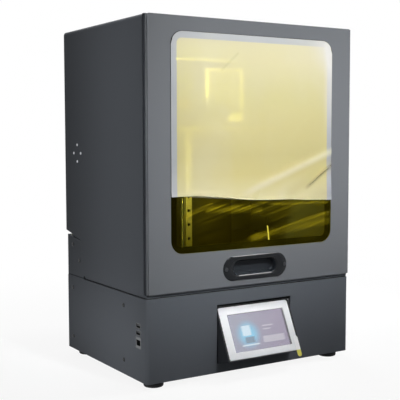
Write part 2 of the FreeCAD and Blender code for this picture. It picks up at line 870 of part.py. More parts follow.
def electronics():
    """Control board on posts and the power supply, both on the floor of the base."""
    floor = d.steel_sheet
    left = -inner_x + d.control_side_gap
    right = left + d.control_width
    front, rear = -d.control_front, -d.control_front + d.control_depth
    board_low = floor + d.control_lift
    board = block((left, right), (front, rear), (board_low, board_low + d.board_thickness))
    posts = [rod("Z", d.board_post_diameter, (x, y), (floor, board_low))
             for x in (left + d.board_post_inset, right - d.board_post_inset)
             for y in (front + d.board_post_inset, rear - d.board_post_inset)]
    piece("control_board", join(board, *posts))
    right = inner_x - d.supply_side_gap
    left = right - d.supply_width
    front, rear = -d.supply_front, -d.supply_front + d.supply_depth
    case = block((left, right), (front, rear), (floor, floor + d.supply_height))
    step = block((left - OVERSHOOT, right + OVERSHOOT), (front - OVERSHOOT, front + d.supply_step_depth),
                 (floor + d.supply_step_height, floor + d.supply_height + OVERSHOOT))
    piece("power_supply", cut(case, step))


def power_inlet():
    """Mains inlet: flange outside the rear wall, body inside, and a socket with three blades."""
    x, z = -inlet_place, d.inlet_height
    half, rise = d.inlet_width / 2, d.inlet_tall / 2
    outer = base_y + d.inlet_flange_thickness
    flange = block((x - half - d.inlet_flange, x + half + d.inlet_flange), (base_y, outer),
                   (z - rise - d.inlet_flange / 2, z + rise + d.inlet_flange / 2))
    body = block((x - half, x + half), (base_y - d.inlet_depth, base_y), (z - rise, z + rise))
    mouth_x, mouth_z = d.inlet_mouth_width / 2, d.inlet_mouth_tall / 2
    bottom = outer - d.inlet_mouth_depth
    mouth = block((x - mouth_x, x + mouth_x), (bottom, outer + OVERSHOOT), (z - mouth_z, z + mouth_z))
    blades = []
    for step, lift in ((-1, 0), (0, 1), (1, 0)):
        wide, tall = d.inlet_pin_width / 2, d.inlet_pin_tall / 2
        px, pz = x + step * d.inlet_pin_pitch, z + lift * tall
        blades.append(block((px - wide, px + wide), (bottom - OVERSHOOT, base_y), (pz - tall, pz + tall)))
    piece("power_inlet", join(cut(join(flange, body), mouth), *blades))


def power_switch():
    """Switch frame in the rear wall, with a rocker on two short pins."""
    x, z = -inlet_place, d.switch_height
    half, rise = d.switch_width / 2, d.switch_tall / 2
    outer = base_y + d.switch_flange_thickness
    flange = block((x - half - d.switch_flange, x + half + d.switch_flange), (base_y, outer),
                   (z - rise - d.switch_flange, z + rise + d.switch_flange))
    body = block((x - half, x + half), (base_y - d.switch_depth, base_y), (z - rise, z + rise))
    hole_x, hole_z = half - d.switch_wall, rise - d.switch_wall
    mouth = block((x - hole_x, x + hole_x), (base_y - d.switch_depth + d.switch_wall, outer + OVERSHOOT),
                  (z - hole_z, z + hole_z))
    pin_reach = hole_x + d.rocker_pin_reach
    axis = (base_y, z)
    seat = rod("X", d.rocker_pin_diameter + 2 * d.running_clearance, axis,
               (x - pin_reach - d.running_clearance, x + pin_reach + d.running_clearance))
    piece("switch_frame", cut(join(flange, body), mouth, seat))
    long = hole_z - d.rocker_gap
    face = base_y + d.switch_flange_thickness
    tip = face + long * sine(d.rocker_swing) / cosine(d.rocker_swing)
    deep = base_y - d.rocker_depth / 2
    narrow = long - d.rocker_depth * sine(d.rocker_swing)
    level = [(deep, -narrow), (tip, -long), (face, ZERO), (tip, long), (deep, narrow)]
    lean, upright = sine(d.rocker_swing), cosine(d.rocker_swing)
    pressed = [(base_y + (y - base_y) * upright - rise * lean, z + (y - base_y) * lean + rise * upright)
               for y, rise in level]
    wide = hole_x - d.assembly_clearance
    rocker = prism("YZ", [pressed], (x - wide, x + wide))
    pins = rod("X", d.rocker_pin_diameter, axis, (x - pin_reach, x + pin_reach))
    piece("power_rocker", join(rocker, pins))


def fan_blades(x, z, along):
    """Pitched blades round the fan's axis, longer than they end up."""
    lean = (along[1] - along[0]) / 2 * sine(d.fan_blade_pitch) / cosine(d.fan_blade_pitch)
    thick = d.fan_blade_thickness / 2
    section = [(along[0], -lean - thick), (along[1], lean - thick), (along[1], lean + thick),
               (along[0], -lean + thick)]
    blades = []
    for number in range(int(d.fan_blades.value)):
        blade = prism("YZ", [section], (d.fan_hub_diameter / 4, d.fan_bore_diameter / 2))
        turn = FreeCAD.Rotation(Vector(0, 1, 0), 360.0 * number / d.fan_blades.value)
        blade.Placement = FreeCAD.Placement(Vector(), turn)
        move(blade, x, ZERO, z)
        blades.append(blade)
    return blades


def fan():
    """Cooling fan behind the rear wall: frame with its stator, rotor and outside guard."""
    x, z, half = fan_place, d.fan_height, d.fan_size / 2
    rear = inner_y
    front = rear - d.fan_depth
    centre = (x, z)
    frame = block((x - half, x + half), (front, rear), (z - half, z + half))
    bore = rod("Y", d.fan_bore_diameter, centre, (front - OVERSHOOT, rear + OVERSHOOT))
    stator_y = (front, front + d.fan_stator_depth)
    stator = rod("Y", d.fan_hub_diameter, centre, stator_y)
    strut = d.fan_strut / 2
    reach = d.fan_bore_diameter / 2 + OVERSHOOT
    struts = [block((x - reach, x + reach), stator_y, (z - strut, z + strut)),
              block((x - strut, x + strut), stator_y, (z - reach, z + reach))]
    shaft_hole = rod("Y", d.fan_shaft_diameter + 2 * d.running_clearance, centre,
                     (front - OVERSHOOT, front + d.fan_stator_depth + OVERSHOOT))
    piece("fan_frame", cut(join(cut(frame, bore), stator, *struts), shaft_hole))
    hub_y = (front + d.fan_stator_depth + d.knob_seat, rear - d.fan_tip_gap)
    hub = rod("Y", d.fan_hub_diameter, centre, hub_y)
    shaft = rod("Y", d.fan_shaft_diameter, centre, (front, hub_y[0]))
    sweep = rod("Y", d.fan_bore_diameter - 2 * d.fan_tip_gap, centre, hub_y)
    blades = overlap(join(*fan_blades(x, z, hub_y)), sweep)
    piece("fan_rotor", join(hub, shaft, blades))
    guard_y = (base_y, base_y + d.guard_thickness)
    wire = d.guard_wire
    rings = []
    for step in range(int(d.fan_bore_diameter.value / 2 // d.guard_step.value)):
        outer = d.fan_bore_diameter + 2 * wire - 2 * step * d.guard_step
        ring = cut(rod("Y", outer, centre, guard_y),
                   rod("Y", outer - 2 * wire, centre, (guard_y[0] - OVERSHOOT, guard_y[1] + OVERSHOOT)))
        rings.append(ring)
    reach = d.fan_bore_diameter / 2 + wire / 2
    bars = [block((x - reach, x + reach), guard_y, (z - wire / 2, z + wire / 2)),
            block((x - wire / 2, x + wire / 2), guard_y, (z - reach, z + reach))]
    piece("fan_guard", join(*rings, *bars))


def light_engine():
    """Heat sink, LED board and reflector under the deck, and the LCD mask on it."""
    middle = platform_middle
    floor = d.steel_sheet
    board_low = d.led_board_top - d.board_thickness
    sink_low = board_low - d.sink_base
    half, deep = d.sink_width / 2, d.sink_depth / 2
    base = block((-half, half), (middle - deep, middle + deep), (sink_low, board_low))
    fins = []
    count = int(d.sink_width.value // d.sink_fin_pitch.value)
    for number in range(count):
        start = -half + d.sink_fin_pitch / 4 + number * d.sink_fin_pitch
        fins.append(block((start, start + d.sink_fin), (middle - deep, middle + deep), (floor, sink_low)))
    piece("uv_heat_sink", join(base, *fins))
    piece("uv_led_board", block((-half, half), (middle - deep, middle + deep), (board_low, d.led_board_top)))
    out_x, out_y = half - d.reflector_margin, deep - d.reflector_margin
    wall = d.reflector_wall
    tube = block((-out_x, out_x), (middle - out_y, middle + out_y), (d.led_board_top, deck_low))
    hollow = block((-out_x + wall, out_x - wall), (middle - out_y + wall, middle + out_y - wall),
                   (d.led_board_top - OVERSHOOT, deck_low + OVERSHOOT))
    piece("uv_reflector", cut(tube, hollow))
    lcd_x = vat_half - d.lcd_margin
    piece("lcd_panel", block((-lcd_x, lcd_x), (vat_front + d.lcd_margin, vat_rear - d.lcd_margin),
                             (deck_top, lcd_top)))


def thumb_places():
    x = vat_half + d.vat_side_wall + d.lug_knob_place
    return {"left": (-x, platform_middle), "right": (x, platform_middle)}


def vat():
    """Resin vat with a lug each side, its clear film, and the thumb knobs that hold it down."""
    top = deck_top + d.vat_height
    outer_x, front, rear = vat_half + d.vat_side_wall, vat_front - d.vat_end_wall, vat_rear + d.vat_end_wall
    inner_radius = d.vat_radius - d.vat_end_wall
    walls = prism("XY", [rectangle((-outer_x, outer_x), (front, rear), d.vat_radius),
                         rectangle((-vat_half, vat_half), (vat_front, vat_rear), inner_radius)],
                  (deck_top, top))
    lug_x = outer_x + d.lug_length
    lug_y = (platform_middle - d.lug_width / 2, platform_middle + d.lug_width / 2)
    lug_top = deck_top + d.lug_height
    lug = block((outer_x - d.vat_side_wall / 2, lug_x), lug_y, (deck_top, lug_top))
    holes = [rod("Z", d.thumb_shaft_diameter + 2 * d.running_clearance, place,
                 (deck_top - OVERSHOOT, lug_top + OVERSHOOT)) for place in thumb_places().values()]
    piece("vat_frame", cut(join(walls, lug, mirrored(lug)), *holes))
    film_low = lcd_top + d.vat_film_gap
    film = prism("XY", [rectangle((-vat_half, vat_half), (vat_front, vat_rear), inner_radius)],
                 (film_low, film_low + d.vat_film_thickness))
    piece("vat_film", film)
    for side, place in thumb_places().items():
        shaft = rod("Z", d.thumb_shaft_diameter, place, (deck_low, lug_top + d.knob_seat))
        head = fluted_head(place, d.thumb_diameter, d.thumb_flute_diameter, int(d.thumb_flutes.value),
                           (lug_top + d.knob_seat, lug_top + d.knob_seat + d.thumb_height))
        piece(f"vat_knob_{side}", join(shaft, head))


def fluted_head(place, diameter, flute, count, z):
    """A round knob with grip flutes round its edge."""
    head = rod("Z", diameter, place, z)
    grooves = []
    for number in range(count):
        angle = 2 * math.pi * number / count
        x = place[0] + diameter / 2 * math.cos(angle)
        y = place[1] + diameter / 2 * math.sin(angle)
        grooves.append(rod("Z", flute, (x, y), (z[0] - OVERSHOOT, z[1] + OVERSHOOT)))
    return cut(head, *grooves)


def tower():
    """Wide back plate with a foot and two gussets behind it."""
    half = d.tower_width / 2
    rear = tower_face + d.tower_thickness
    plate = block((-half, half), (tower_face, rear), (deck_top, tower_top))
    foot_rear = tower_face + d.tower_foot_depth
    foot_top = deck_top + d.tower_foot_thickness
    foot = block((-half, half), (tower_face, foot_rear), (deck_top, foot_top))
    side = [(rear, foot_top), (foot_rear, foot_top), (rear, foot_top + d.gusset_height)]
    gusset = prism("YZ", [side], (-half, -half + d.gusset_thickness))
    piece("z_tower", join(plate, foot, gusset, mirrored(gusset)))


def rail_hole_heights():
    span = rail_top - d.rail_low - d.rail_first_hole
    count = int(span.value // d.rail_pitch.value) + 1
    return [d.rail_low + d.rail_first_hole + number * d.rail_pitch for number in range(count)]


def rails():
    """Two guide rails on the tower, with their screws sunk in them."""
    front = tower_face - d.rail_height
    head_y = front + d.rail_head_depth
    bar = block((d.rail_place - d.rail_width / 2, d.rail_place + d.rail_width / 2), (front, tower_face),
                (d.rail_low, rail_top))
    holes, fasteners = [], []
    for z in rail_hole_heights():
        place = (d.rail_place, z)
        holes.append(rod("Y", d.rail_hole_diameter, place, (front - OVERSHOOT, tower_face + OVERSHOOT)))
        holes.append(rod("Y", d.rail_head_diameter, place, (front - OVERSHOOT, head_y)))
        fasteners.append(join(rod("Y", d.rail_head_diameter, place, (head_y - d.rail_head_depth / 2, head_y)),
                              rod("Y", d.rail_hole_diameter, place, (head_y, tower_face))))
    piece("guide_rails", pair(cut(bar, *holes)))
    right_set = group(*fasteners)
    piece("rail_screws", group(right_set, mirrored(right_set)))


def lift_drive():
    """Motor under the deck, lead screw with its coupler, and the bearing block at the top."""
    place = (ZERO, screw_place)
    half = d.motor_width / 2
    low = deck_low - d.motor_length
    boss_top = deck_low + d.motor_boss_height
    case = block((-half, half), (screw_place - half, screw_place + half), (low, deck_low))
    boss = rod("Z", d.motor_boss_diameter, place, (deck_low, boss_top))
    bore = rod("Z", d.journal_diameter + 2 * d.running_clearance, place,
               (d.journal_bottom - d.knob_seat, boss_top + OVERSHOOT))
    piece("z_motor", cut(join(case, boss), bore))
    block_low = carriage_top + d.bearing_block_gap
    block_top = block_low + d.bearing_block_height
    journal = rod("Z", d.journal_diameter, place, (d.journal_bottom, d.journal_top))
    thread = rod("Z", d.lead_diameter, place, (d.journal_top, block_top + d.lead_end))
    piece("lead_screw", join(journal, thread))
    coupler_top = d.coupler_low + d.coupler_length
    sleeve = rod("Z", d.coupler_diameter, place, (d.coupler_low, coupler_top))
    lower_bore = rod("Z", d.journal_diameter, place, (d.coupler_low - OVERSHOOT, d.journal_top))
    upper_bore = rod("Z", d.lead_diameter, place, (d.journal_top, coupler_top + OVERSHOOT))
    piece("shaft_coupler", cut(sleeve, lower_bore, upper_bore))
    seat_low = block_top - d.bearing_height
    body = block((-d.bearing_block_width / 2, d.bearing_block_width / 2),
                 (screw_place - d.bearing_block_front, tower_face), (block_low, block_top))
    clear = rod("Z", d.lead_diameter + 2 * d.lead_hole_clearance, place, (block_low - OVERSHOOT, block_top))
    pocket = rod("Z", d.bearing_diameter, place, (seat_low, block_top + OVERSHOOT))
    piece("top_bearing_block", cut(body, clear, pocket))
    ring = rod("Z", d.bearing_diameter, place, (seat_low, block_top))
    hole = rod("Z", d.lead_diameter + 2 * d.running_clearance, place,
               (seat_low - OVERSHOOT, block_top + OVERSHOOT))
    piece("top_bearing", cut(ring, hole))


def carriage():
    """Rail blocks, plate and nut that ride up and down the tower."""
    middle = carriage_low + d.carriage_height / 2
    z = (middle - d.block_length / 2, middle + d.block_length / 2)
    rear = tower_face - d.block_lift
    half = d.block_width / 2
    body = block((d.rail_place - half, d.rail_place + half), (block_face, rear), z)
    groove_x = d.rail_width / 2 + d.running_clearance
    groove = block((d.rail_place - groove_x, d.rail_place + groove_x),
                   (tower_face - d.rail_height - d.running_clearance, rear + OVERSHOOT),
                   (z[0] - OVERSHOOT, z[1] + OVERSHOOT))
    piece("carriage_blocks", pair(cut(body, groove)))
    wide = d.carriage_width / 2
    piece("carriage_plate", block((-wide, wide), (carriage_front, block_face), (carriage_low, carriage_top)))
    nut_x = d.nut_width / 2
    nut_low = carriage_low + d.nut_lift
    nut_z = (nut_low, nut_low + d.nut_height)
    nut = block((-nut_x, nut_x), (screw_place - d.nut_front, carriage_front), nut_z)
    bore = rod("Z", d.lead_diameter + 2 * d.running_clearance, (ZERO, screw_place),
               (nut_z[0] - OVERSHOOT, nut_z[1] + OVERSHOOT))
    piece("lead_nut", cut(nut, bore))


def level_places():
    return [(x * d.level_screw_x, platform_middle + y * d.level_screw_y) for x in (-1, 1) for y in (-1, 1)]


def platform():
    """Arm from the carriage, build platform under it, clamp knob and levelling screws."""
    half = d.arm_width / 2
    front = platform_middle - d.stem_depth / 2
    plate = block((-half, half), (front, carriage_front), (arm_low, arm_top))
    web_side = [(d.arm_web_front, arm_top), (carriage_front, arm_top),
                (carriage_front, arm_top + d.arm_web_height)]
    web = prism("YZ", [web_side], (-half, -half + d.arm_web))
    slot_x = d.arm_slot_width / 2
    slot = block((-slot_x, slot_x), (screw_place - slot_x, carriage_front + OVERSHOOT),
                 (arm_low - OVERSHOOT, arm_top + OVERSHOOT))
    place = (ZERO, platform_middle)
    through = (arm_low - OVERSHOOT, arm_top + OVERSHOOT)
    knob_bore = d.knob_shaft_diameter + 2 * d.running_clearance
    holes = [rod("Z", knob_bore, place, through)]
    holes += [rod("Z", d.level_screw_shank, spot, through) for spot in level_places()]
    piece("platform_arm", cut(join(plate, web, mirrored(web)), slot, *holes))
    wide, deep = d.platform_width / 2, d.platform_depth / 2
    slab = block((-wide, wide), (platform_middle - deep, platform_middle + deep),
                 (platform_low, platform_top))
    stem_x, stem_y = d.stem_width / 2, d.stem_depth / 2
    stem = block((-stem_x, stem_x), (platform_middle - stem_y, platform_middle + stem_y),
                 (platform_top, arm_low))
    socket = rod("Z", knob_bore, place, (arm_low - d.knob_reach - d.knob_seat, arm_low + OVERSHOOT))
    piece("build_platform", cut(join(slab, stem), socket))
    screws_set = []
    for spot in level_places():
        screws_set.append(join(rod("Z", d.level_screw_shank, spot, (arm_low, arm_top)),
                               rod("Z", d.level_screw_head, spot, (arm_top, arm_top + d.level_screw_height))))
    piece("levelling_screws", group(*screws_set))
    knob_low = arm_top + d.level_screw_height + d.knob_seat
    shaft = rod("Z", d.knob_shaft_diameter, place, (arm_low - d.knob_reach, knob_low))
    head = fluted_head(place, d.knob_diameter, d.flute_diameter, int(d.knob_flutes.value),
                       (knob_low, knob_low + d.knob_height))
    collar = rod("Z", d.knob_diameter / 2, place, (arm_top + d.knob_seat, knob_low))
    piece("platform_knob", join(shaft, collar, head))


def hood_wrap():
    """Sides and roof of the hood, bent from one sheet, with a flange behind the front panel."""
    sheet = d.steel_sheet
    top = d.body_height

    def arch(depth, radius):
        inside = hood_x - depth
        return [(hood_x, hood_low), (hood_x, top, d.bend_radius), (-hood_x, top, d.bend_radius),
                (-hood_x, hood_low), (-inside, hood_low), (-inside, top - depth, radius),
                (inside, top - depth, radius), (inside, hood_low)]

    shell = prism("XZ", [arch(sheet, inner_bend)], (flange_front, hood_y))
    flange = prism("XZ", [arch(d.hood_flange, inner_bend)], (flange_front, flange_front + sheet))
    past_y, past_z = hood_y + OVERSHOOT, hood_low - OVERSHOOT
    rear_corner = [(d.ear_front_low - d.ear_gap, past_z), (past_y, past_z),
                   (past_y, ear_rear_top + d.ear_rear_gap),
                   (d.ear_front_high - d.ear_gap, ear_front_top + d.ear_gap)]
    notch = prism("YZ", [rear_corner], (-hood_x - OVERSHOOT, hood_x + OVERSHOOT))
    holes = [side_hole(y, z) for y, z in diamond_places()]
    piece("hood_wrap", cut(join(shell, flange), notch, *holes))


def obround(length, height, z):
    """Corners of a long round-ended outline about the middle plane."""
    radius = height / 2 - d.assembly_clearance / 4
    return rectangle((-length / 2, length / 2), (z - height / 2, z + height / 2), radius)


def hood_front():
    """Front panel tray, window border, pane, film and flush pull."""
    sheet = d.steel_sheet
    half = hood_x - d.front_inset
    face, back = -hood_y, -hood_y + d.front_proud
    pane_x = d.pane_width / 2
    gap = d.assembly_clearance
    opening = rectangle((-pane_x - gap, pane_x + gap), (d.pane_low - gap, pane_top + gap),
                        d.pane_radius + gap)
    cup_long = d.cup_length + 2 * d.cup_wall
    cup_tall = d.cup_height + 2 * d.cup_wall
    pull = obround(cup_long + 2 * gap, cup_tall + 2 * gap, d.handle_middle)
    tray = prism("XZ", [rectangle((-half, half), (hood_low, d.body_height), d.front_radius), opening, pull],
                 (face, back))
    hollow = block((-half + sheet, half - sheet), (face + sheet, back + OVERSHOOT),
                   (hood_low + sheet, d.body_height - sheet))
    piece("hood_front_panel", cut(tray, hollow))
    reach = d.border_overlap
    clear = d.border_width
    border = prism("XZ", [rectangle((-pane_x - reach, pane_x + reach), (d.pane_low - reach, pane_top + reach),
                                    d.pane_radius),
                          rectangle((-pane_x + clear, pane_x - clear), (d.pane_low + clear, pane_top - clear),
                                    d.clear_radius)],
                   (face + sheet, face + sheet + d.border_thickness))
    piece("window_frame", border)
    pane_front = face + sheet - d.pane_thickness
    pane = prism("XZ", [rectangle((-pane_x, pane_x), (d.pane_low, pane_top), d.pane_radius)],
                 (pane_front, face + sheet))
    piece("window_pane", pane)
    film_x = pane_x - d.film_inset
    film_top = pane_top - d.film_inset
    film_radius = d.pane_radius - d.film_inset
    film = prism("XZ", [[(-film_x, d.film_low), (film_x, d.film_low), (film_x, film_top, film_radius),
                         (-film_x, film_top, film_radius)]], (pane_front - d.film_thickness, pane_front))
    piece("window_film", film)
    rim_face = face - d.handle_flange
    cup_rear = rim_face + d.cup_depth + d.cup_wall
    rim = prism("XZ", [obround(d.handle_length, d.handle_height, d.handle_middle)], (rim_face, face))
    cup = prism("XZ", [obround(cup_long, cup_tall, d.handle_middle)], (rim_face, cup_rear))
    hollow = prism("XZ", [obround(d.cup_length, d.cup_height, d.handle_middle)],
                   (rim_face - OVERSHOOT, rim_face + d.cup_depth))
    piece("pull_handle", cut(join(rim, cup), hollow))
    place = (d.handle_screw_place, d.handle_middle)
    right = rod("Y", d.handle_screw_diameter, place, (rim_face - d.screw_head_height, rim_face))
    piece("handle_screws", pair(right))


def hood_rear():
    """Back panel of the hood above the hinges, and the rim that lands on the seal."""
    inside = hood_x - d.steel_sheet
    low, top = d.hinge_height + d.hinge_gap, d.body_height - d.steel_sheet
    face = [(-inside, low), (inside, low), (inside, top, inner_bend), (-inside, top, inner_bend)]
    piece("hood_back_panel", prism("XZ", [face], (hood_y - d.steel_sheet, hood_y)))
    rim = u_ring(inside, flange_front + d.steel_sheet, neck_rear, d.rim_width, d.rim_front_width,
                 (hood_low, hood_low + d.steel_sheet))
    piece("hood_rim", rim)


def check():
    """Stop if any object failed or any piece is empty or broken."""
    doc.recompute()
    for thing in doc.Objects:
        faults = [word for word in thing.State if word in ("Invalid", "Error")]
        if faults:
            raise RuntimeError(f"{thing.Name} ({thing.Label}) failed: {thing.State}")
    for part in pieces:
        if part.Shape.isNull() or not part.Shape.isValid() or not part.Shape.Solids:
            raise RuntimeError(f"{part.Label} has no valid solid")


def export():
    os.makedirs("parts", exist_ok=True)
    for part in pieces:
        part.Shape.exportStep(f"parts/{part.Label}.step")


base_wrap()
bottom_plate()
feet()
base_back_panel()
deck_plate()
neck()
hinge_beam()
screws()
hinges()
console()
ports()
electronics()
power_inlet()
power_switch()
fan()
light_engine()
vat()
tower()
rails()
lift_drive()
carriage()
platform()
hood_wrap()
hood_front()
hood_rear()
check()
export()
print(len(pieces), "pieces")
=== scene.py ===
"""Looks of a desktop resin printer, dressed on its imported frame.

Lengths are in metres in the frame's own axes: X to the right, the front towards -Y, Z up from the floor. Each
sub-assembly takes its places from the frame's nodes.
"""
from __future__ import annotations

import logging
import math
from abc import ABC, abstractmethod
from dataclasses import dataclass
from enum import Enum
from typing import Callable, Mapping, Optional, Sequence, Union

import bmesh
import bpy
from mathutils import Euler, Matrix, Vector


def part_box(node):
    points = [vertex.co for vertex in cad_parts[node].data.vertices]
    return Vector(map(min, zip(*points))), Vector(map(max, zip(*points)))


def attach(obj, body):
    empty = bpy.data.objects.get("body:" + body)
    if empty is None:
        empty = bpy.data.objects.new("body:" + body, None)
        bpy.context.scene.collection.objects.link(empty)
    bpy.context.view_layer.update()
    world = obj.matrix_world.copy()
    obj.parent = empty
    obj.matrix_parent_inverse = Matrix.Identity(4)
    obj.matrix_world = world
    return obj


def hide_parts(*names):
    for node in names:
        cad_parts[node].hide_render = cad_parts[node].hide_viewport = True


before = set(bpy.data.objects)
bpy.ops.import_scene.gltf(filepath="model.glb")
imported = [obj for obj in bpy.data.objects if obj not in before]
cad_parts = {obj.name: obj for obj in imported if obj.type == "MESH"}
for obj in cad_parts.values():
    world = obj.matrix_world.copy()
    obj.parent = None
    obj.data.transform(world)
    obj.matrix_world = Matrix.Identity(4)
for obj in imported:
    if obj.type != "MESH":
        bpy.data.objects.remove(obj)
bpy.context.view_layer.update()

LOG = logging.getLogger("resin_printer")
MM = 0.001
WELD = 0.001 * MM

Colour = tuple[float, float, float]
Triple = tuple[float, float, float]
Loop = list[Vector]
Spot = tuple[float, float]
Stops = Sequence[tuple[float, Colour]]


def tone(red: int, green: int, blue: int) -> Colour:
    """Linear colour of three display levels from 0 to 255.

    Args:
        red: Red level.
        green: Green level.
        blue: Blue level.

    Returns:
        The colour as linear shares.
    """
    shares = [level / 255 for level in (red, green, blue)]
    linear = [s / 12.92 if s <= 0.04045 else ((s + 0.055) / 1.055) ** 2.4 for s in shares]
    return linear[0], linear[1], linear[2]


def shaded(colour: Colour, factor: float) -> Colour:
    """A colour made darker or lighter, held below full white."""
    red, green, blue = (min(level * factor, 1.0) for level in colour)
    return red, green, blue


def smooth(low: float, high: float, value: float) -> float:
    """Soft step from 0 at low to 1 at high."""
    share = min(max((value - low) / (high - low), 0.0), 1.0)
    return share * share * (3 - 2 * share)


class Value:
    """A shader socket that can be used in expressions."""

    def __init__(self, graph: Graph, socket: bpy.types.NodeSocket) -> None:
        """Keeps the socket with the graph that it belongs to."""
        self.graph = graph
        self.socket = socket

    def math(self, operation: str, *values: Number) -> Value:
        """A Math node on the values given."""
        return self.graph.node("ShaderNodeMath", {"operation": operation}, dict(enumerate(values)))

    def __add__(self, other: Number) -> Value:
        """Sum."""
        return self.math("ADD", self, other)

    def __sub__(self, other: Number) -> Value:
        """Difference."""
        return self.math("SUBTRACT", self, other)

    def __rsub__(self, other: Number) -> Value:
        """Difference from a number."""
        return self.math("SUBTRACT", other, self)

    def __mul__(self, other: Number) -> Value:
        """Product."""
        return self.math("MULTIPLY", self, other)

    def __truediv__(self, other: Number) -> Value:
        """Quotient."""
        return self.math("DIVIDE", self, other)

    def __pow__(self, power: Number) -> Value:
        """Power."""
        return self.math("POWER", self, power)

    def __abs__(self) -> Value:
        """Size without sign."""
        return self.math("ABSOLUTE", self)

    __radd__ = __add__
    __rmul__ = __mul__

    def at_least(self, other: Number) -> Value:
        """The larger of the two."""
        return self.math("MAXIMUM", self, other)

    def at_most(self, other: Number) -> Value:
        """The smaller of the two."""
        return self.math("MINIMUM", self, other)

    def between(self, low: float, high: float) -> Value:
        """Soft step from 0 at low to 1 at high."""
        return self.graph.node("ShaderNodeMapRange", {"interpolation_type": "SMOOTHSTEP"},
                               {"Value": self, "From Min": low, "From Max": high})

    def beside(self, name: str) -> Value:
        """Another output of the same node."""
        return Value(self.graph, self.socket.node.outputs[name])


Number = Union[float, Value]
Input = Union[float, Sequence[float], Value]
Tint = Union[Colour, Value]


class Graph:
    """A node tree written as expressions."""

    def __init__(self, tree: bpy.types.NodeTree) -> None:
        """Empties the tree."""
        self.tree = tree
        tree.nodes.clear()

    def node(self, kind: str, settings: Optional[Mapping[str, object]] = None,
             sockets: Optional[Mapping[Union[int, str], Input]] = None, out: Union[int, str] = 0) -> Value:
        """Adds a node.

        Args:
            kind: Blender's name for the node's type.
            settings: Properties, which are set first; "stops" fills a colour ramp.
            sockets: Values or links of the inputs, by name or place.
            out: Which output to give back.

        Returns:
            That output.
        """
        made = self.tree.nodes.new(kind)
        for name, setting in (settings or {}).items():
            if name == "stops":
                self.fill_ramp(made.color_ramp, setting)
            else:
                setattr(made, name, setting)
        for name, value in (sockets or {}).items():
            slot = made.inputs[name]
            if isinstance(value, Value):
                self.tree.links.new(value.socket, slot)
            else:
                slot.default_value = (*value, 1.0) if slot.type == "RGBA" else value
        return Value(self, made.outputs[out] if len(made.outputs) else None)

    @staticmethod
    def fill_ramp(ramp: bpy.types.ColorRamp, stops: Stops) -> None:
        """Sets a colour ramp's stops, which come in rising order.

        Args:
            ramp: The ramp, with its two first stops.
            stops: Place and colour of each stop.
        """
        ramp.elements.remove(ramp.elements[1])
        ramp.elements[0].position = stops[0][0]
        ramp.elements[0].color = (*stops[0][1], 1.0)
        for spot, colour in stops[1:]:
            ramp.elements.new(spot).color = (*colour, 1.0)

    def place(self) -> Value:
        """Where the point lies on its piece, in metres."""
        return self.node("ShaderNodeTexCoord", out="Object")

    def axes(self, vector: Value) -> tuple[Value, Value, Value]:
        """The three parts of a vector."""
        first = self.node("ShaderNodeSeparateXYZ", sockets={0: vector}, out="X")
        return first, first.beside("Y"), first.beside("Z")

    def stretch(self, vector: Value, scale: Triple) -> Value:
        """A vector scaled along each axis."""
        return self.node("ShaderNodeVectorMath", {"operation": "MULTIPLY"}, {0: vector, 1: scale})

    def dot(self, vector: Value, other: Input) -> Value:
        """How far a vector goes along another."""
        return self.node("ShaderNodeVectorMath", {"operation": "DOT_PRODUCT"}, {0: vector, 1: other}, "Value")

    def noise(self, vector: Value, size: float, detail: float = 2.0, distortion: float = 0.0) -> Value:
        """Soft noise whose lumps are about the size given."""
        return self.node("ShaderNodeTexNoise", sockets={
            "Vector": vector, "Scale": 1 / size, "Detail": detail, "Distortion": distortion})

    def blend(self, share: Number, low: Tint, high: Tint) -> Value:
        """Colour from low to high by a share."""
        return self.node("ShaderNodeMix", {"data_type": "RGBA"}, {0: share, 6: low, 7: high}, 2)

    def ramp(self, share: Value, stops: Stops) -> Value:
        """Colour along a ramp."""
        return self.node("ShaderNodeValToRGB", {"stops": stops}, {0: share}, "Color")

    def panel(self, across: Value, along: Value, half: tuple[float, float], radius: float) -> Value:
        """Distance to a rounded rectangle round the origin, less than 0 inside it.

        Args:
            across: Place along its width.
            along: Place along its height.
            half: Half its width and half its height.
            radius: Radius of its corners.

        Returns:
            The distance in metres.
        """
        wide = abs(across) - (half[0] - radius)
        tall = abs(along) - (half[1] - radius)
        outside = (wide.at_least(0.0) ** 2.0 + tall.at_least(0.0) ** 2.0) ** 0.5
        return outside + wide.at_least(tall).at_most(0.0) - radius

    def line(self, across: Value, along: Value, start: Spot, end: Spot, width: float) -> Value:
        """Soft line from start to end.

        Args:
            across: Place along the first axis.
            along: Place along the second axis.
            start: First end.
            end: Second end.
            width: Half the line's width, where it has faded out.

        Returns:
            1 on the line, 0 away from it.
        """
        length = math.dist(start, end)
        run = ((end[0] - start[0]) / length, (end[1] - start[1]) / length)
        ahead = (across - start[0]) * run[0] + (along - start[1]) * run[1]
        off = (across - start[0]) * run[1] - (along - start[1]) * run[0]
        ends = ahead.between(0.0, 0.2 * length) * (1 - ahead.between(length, 1.1 * length))
        return (1 - abs(off).between(0.0, width)) * ends

    def bump(self, height: Value, depth: float, normal: Optional[Value] = None) -> Value:
        """Normal of a surface with small relief.

        Args:
            height: The relief's pattern.
            depth: The relief's height in metres.
            normal: The normal that it starts from, if not the surface's own.

        Returns:
            The normal.
        """
        sockets: dict[Union[int, str], Input] = {"Height": height, "Distance": depth}
        if normal is not None:
            sockets["Normal"] = normal
        return self.node("ShaderNodeBump", sockets=sockets)

    def surface(self, **sockets: Input) -> Value:
        """A Principled surface; socket names are written with underscores."""
        return self.node("ShaderNodeBsdfPrincipled", sockets={
            name.replace("_", " "): value for name, value in sockets.items()})

    def mix(self, share: Number, first: Value, second: Value) -> Value:
        """Shader from first to second by a share."""
        return self.node("ShaderNodeMixShader", sockets={0: share, 1: first, 2: second})


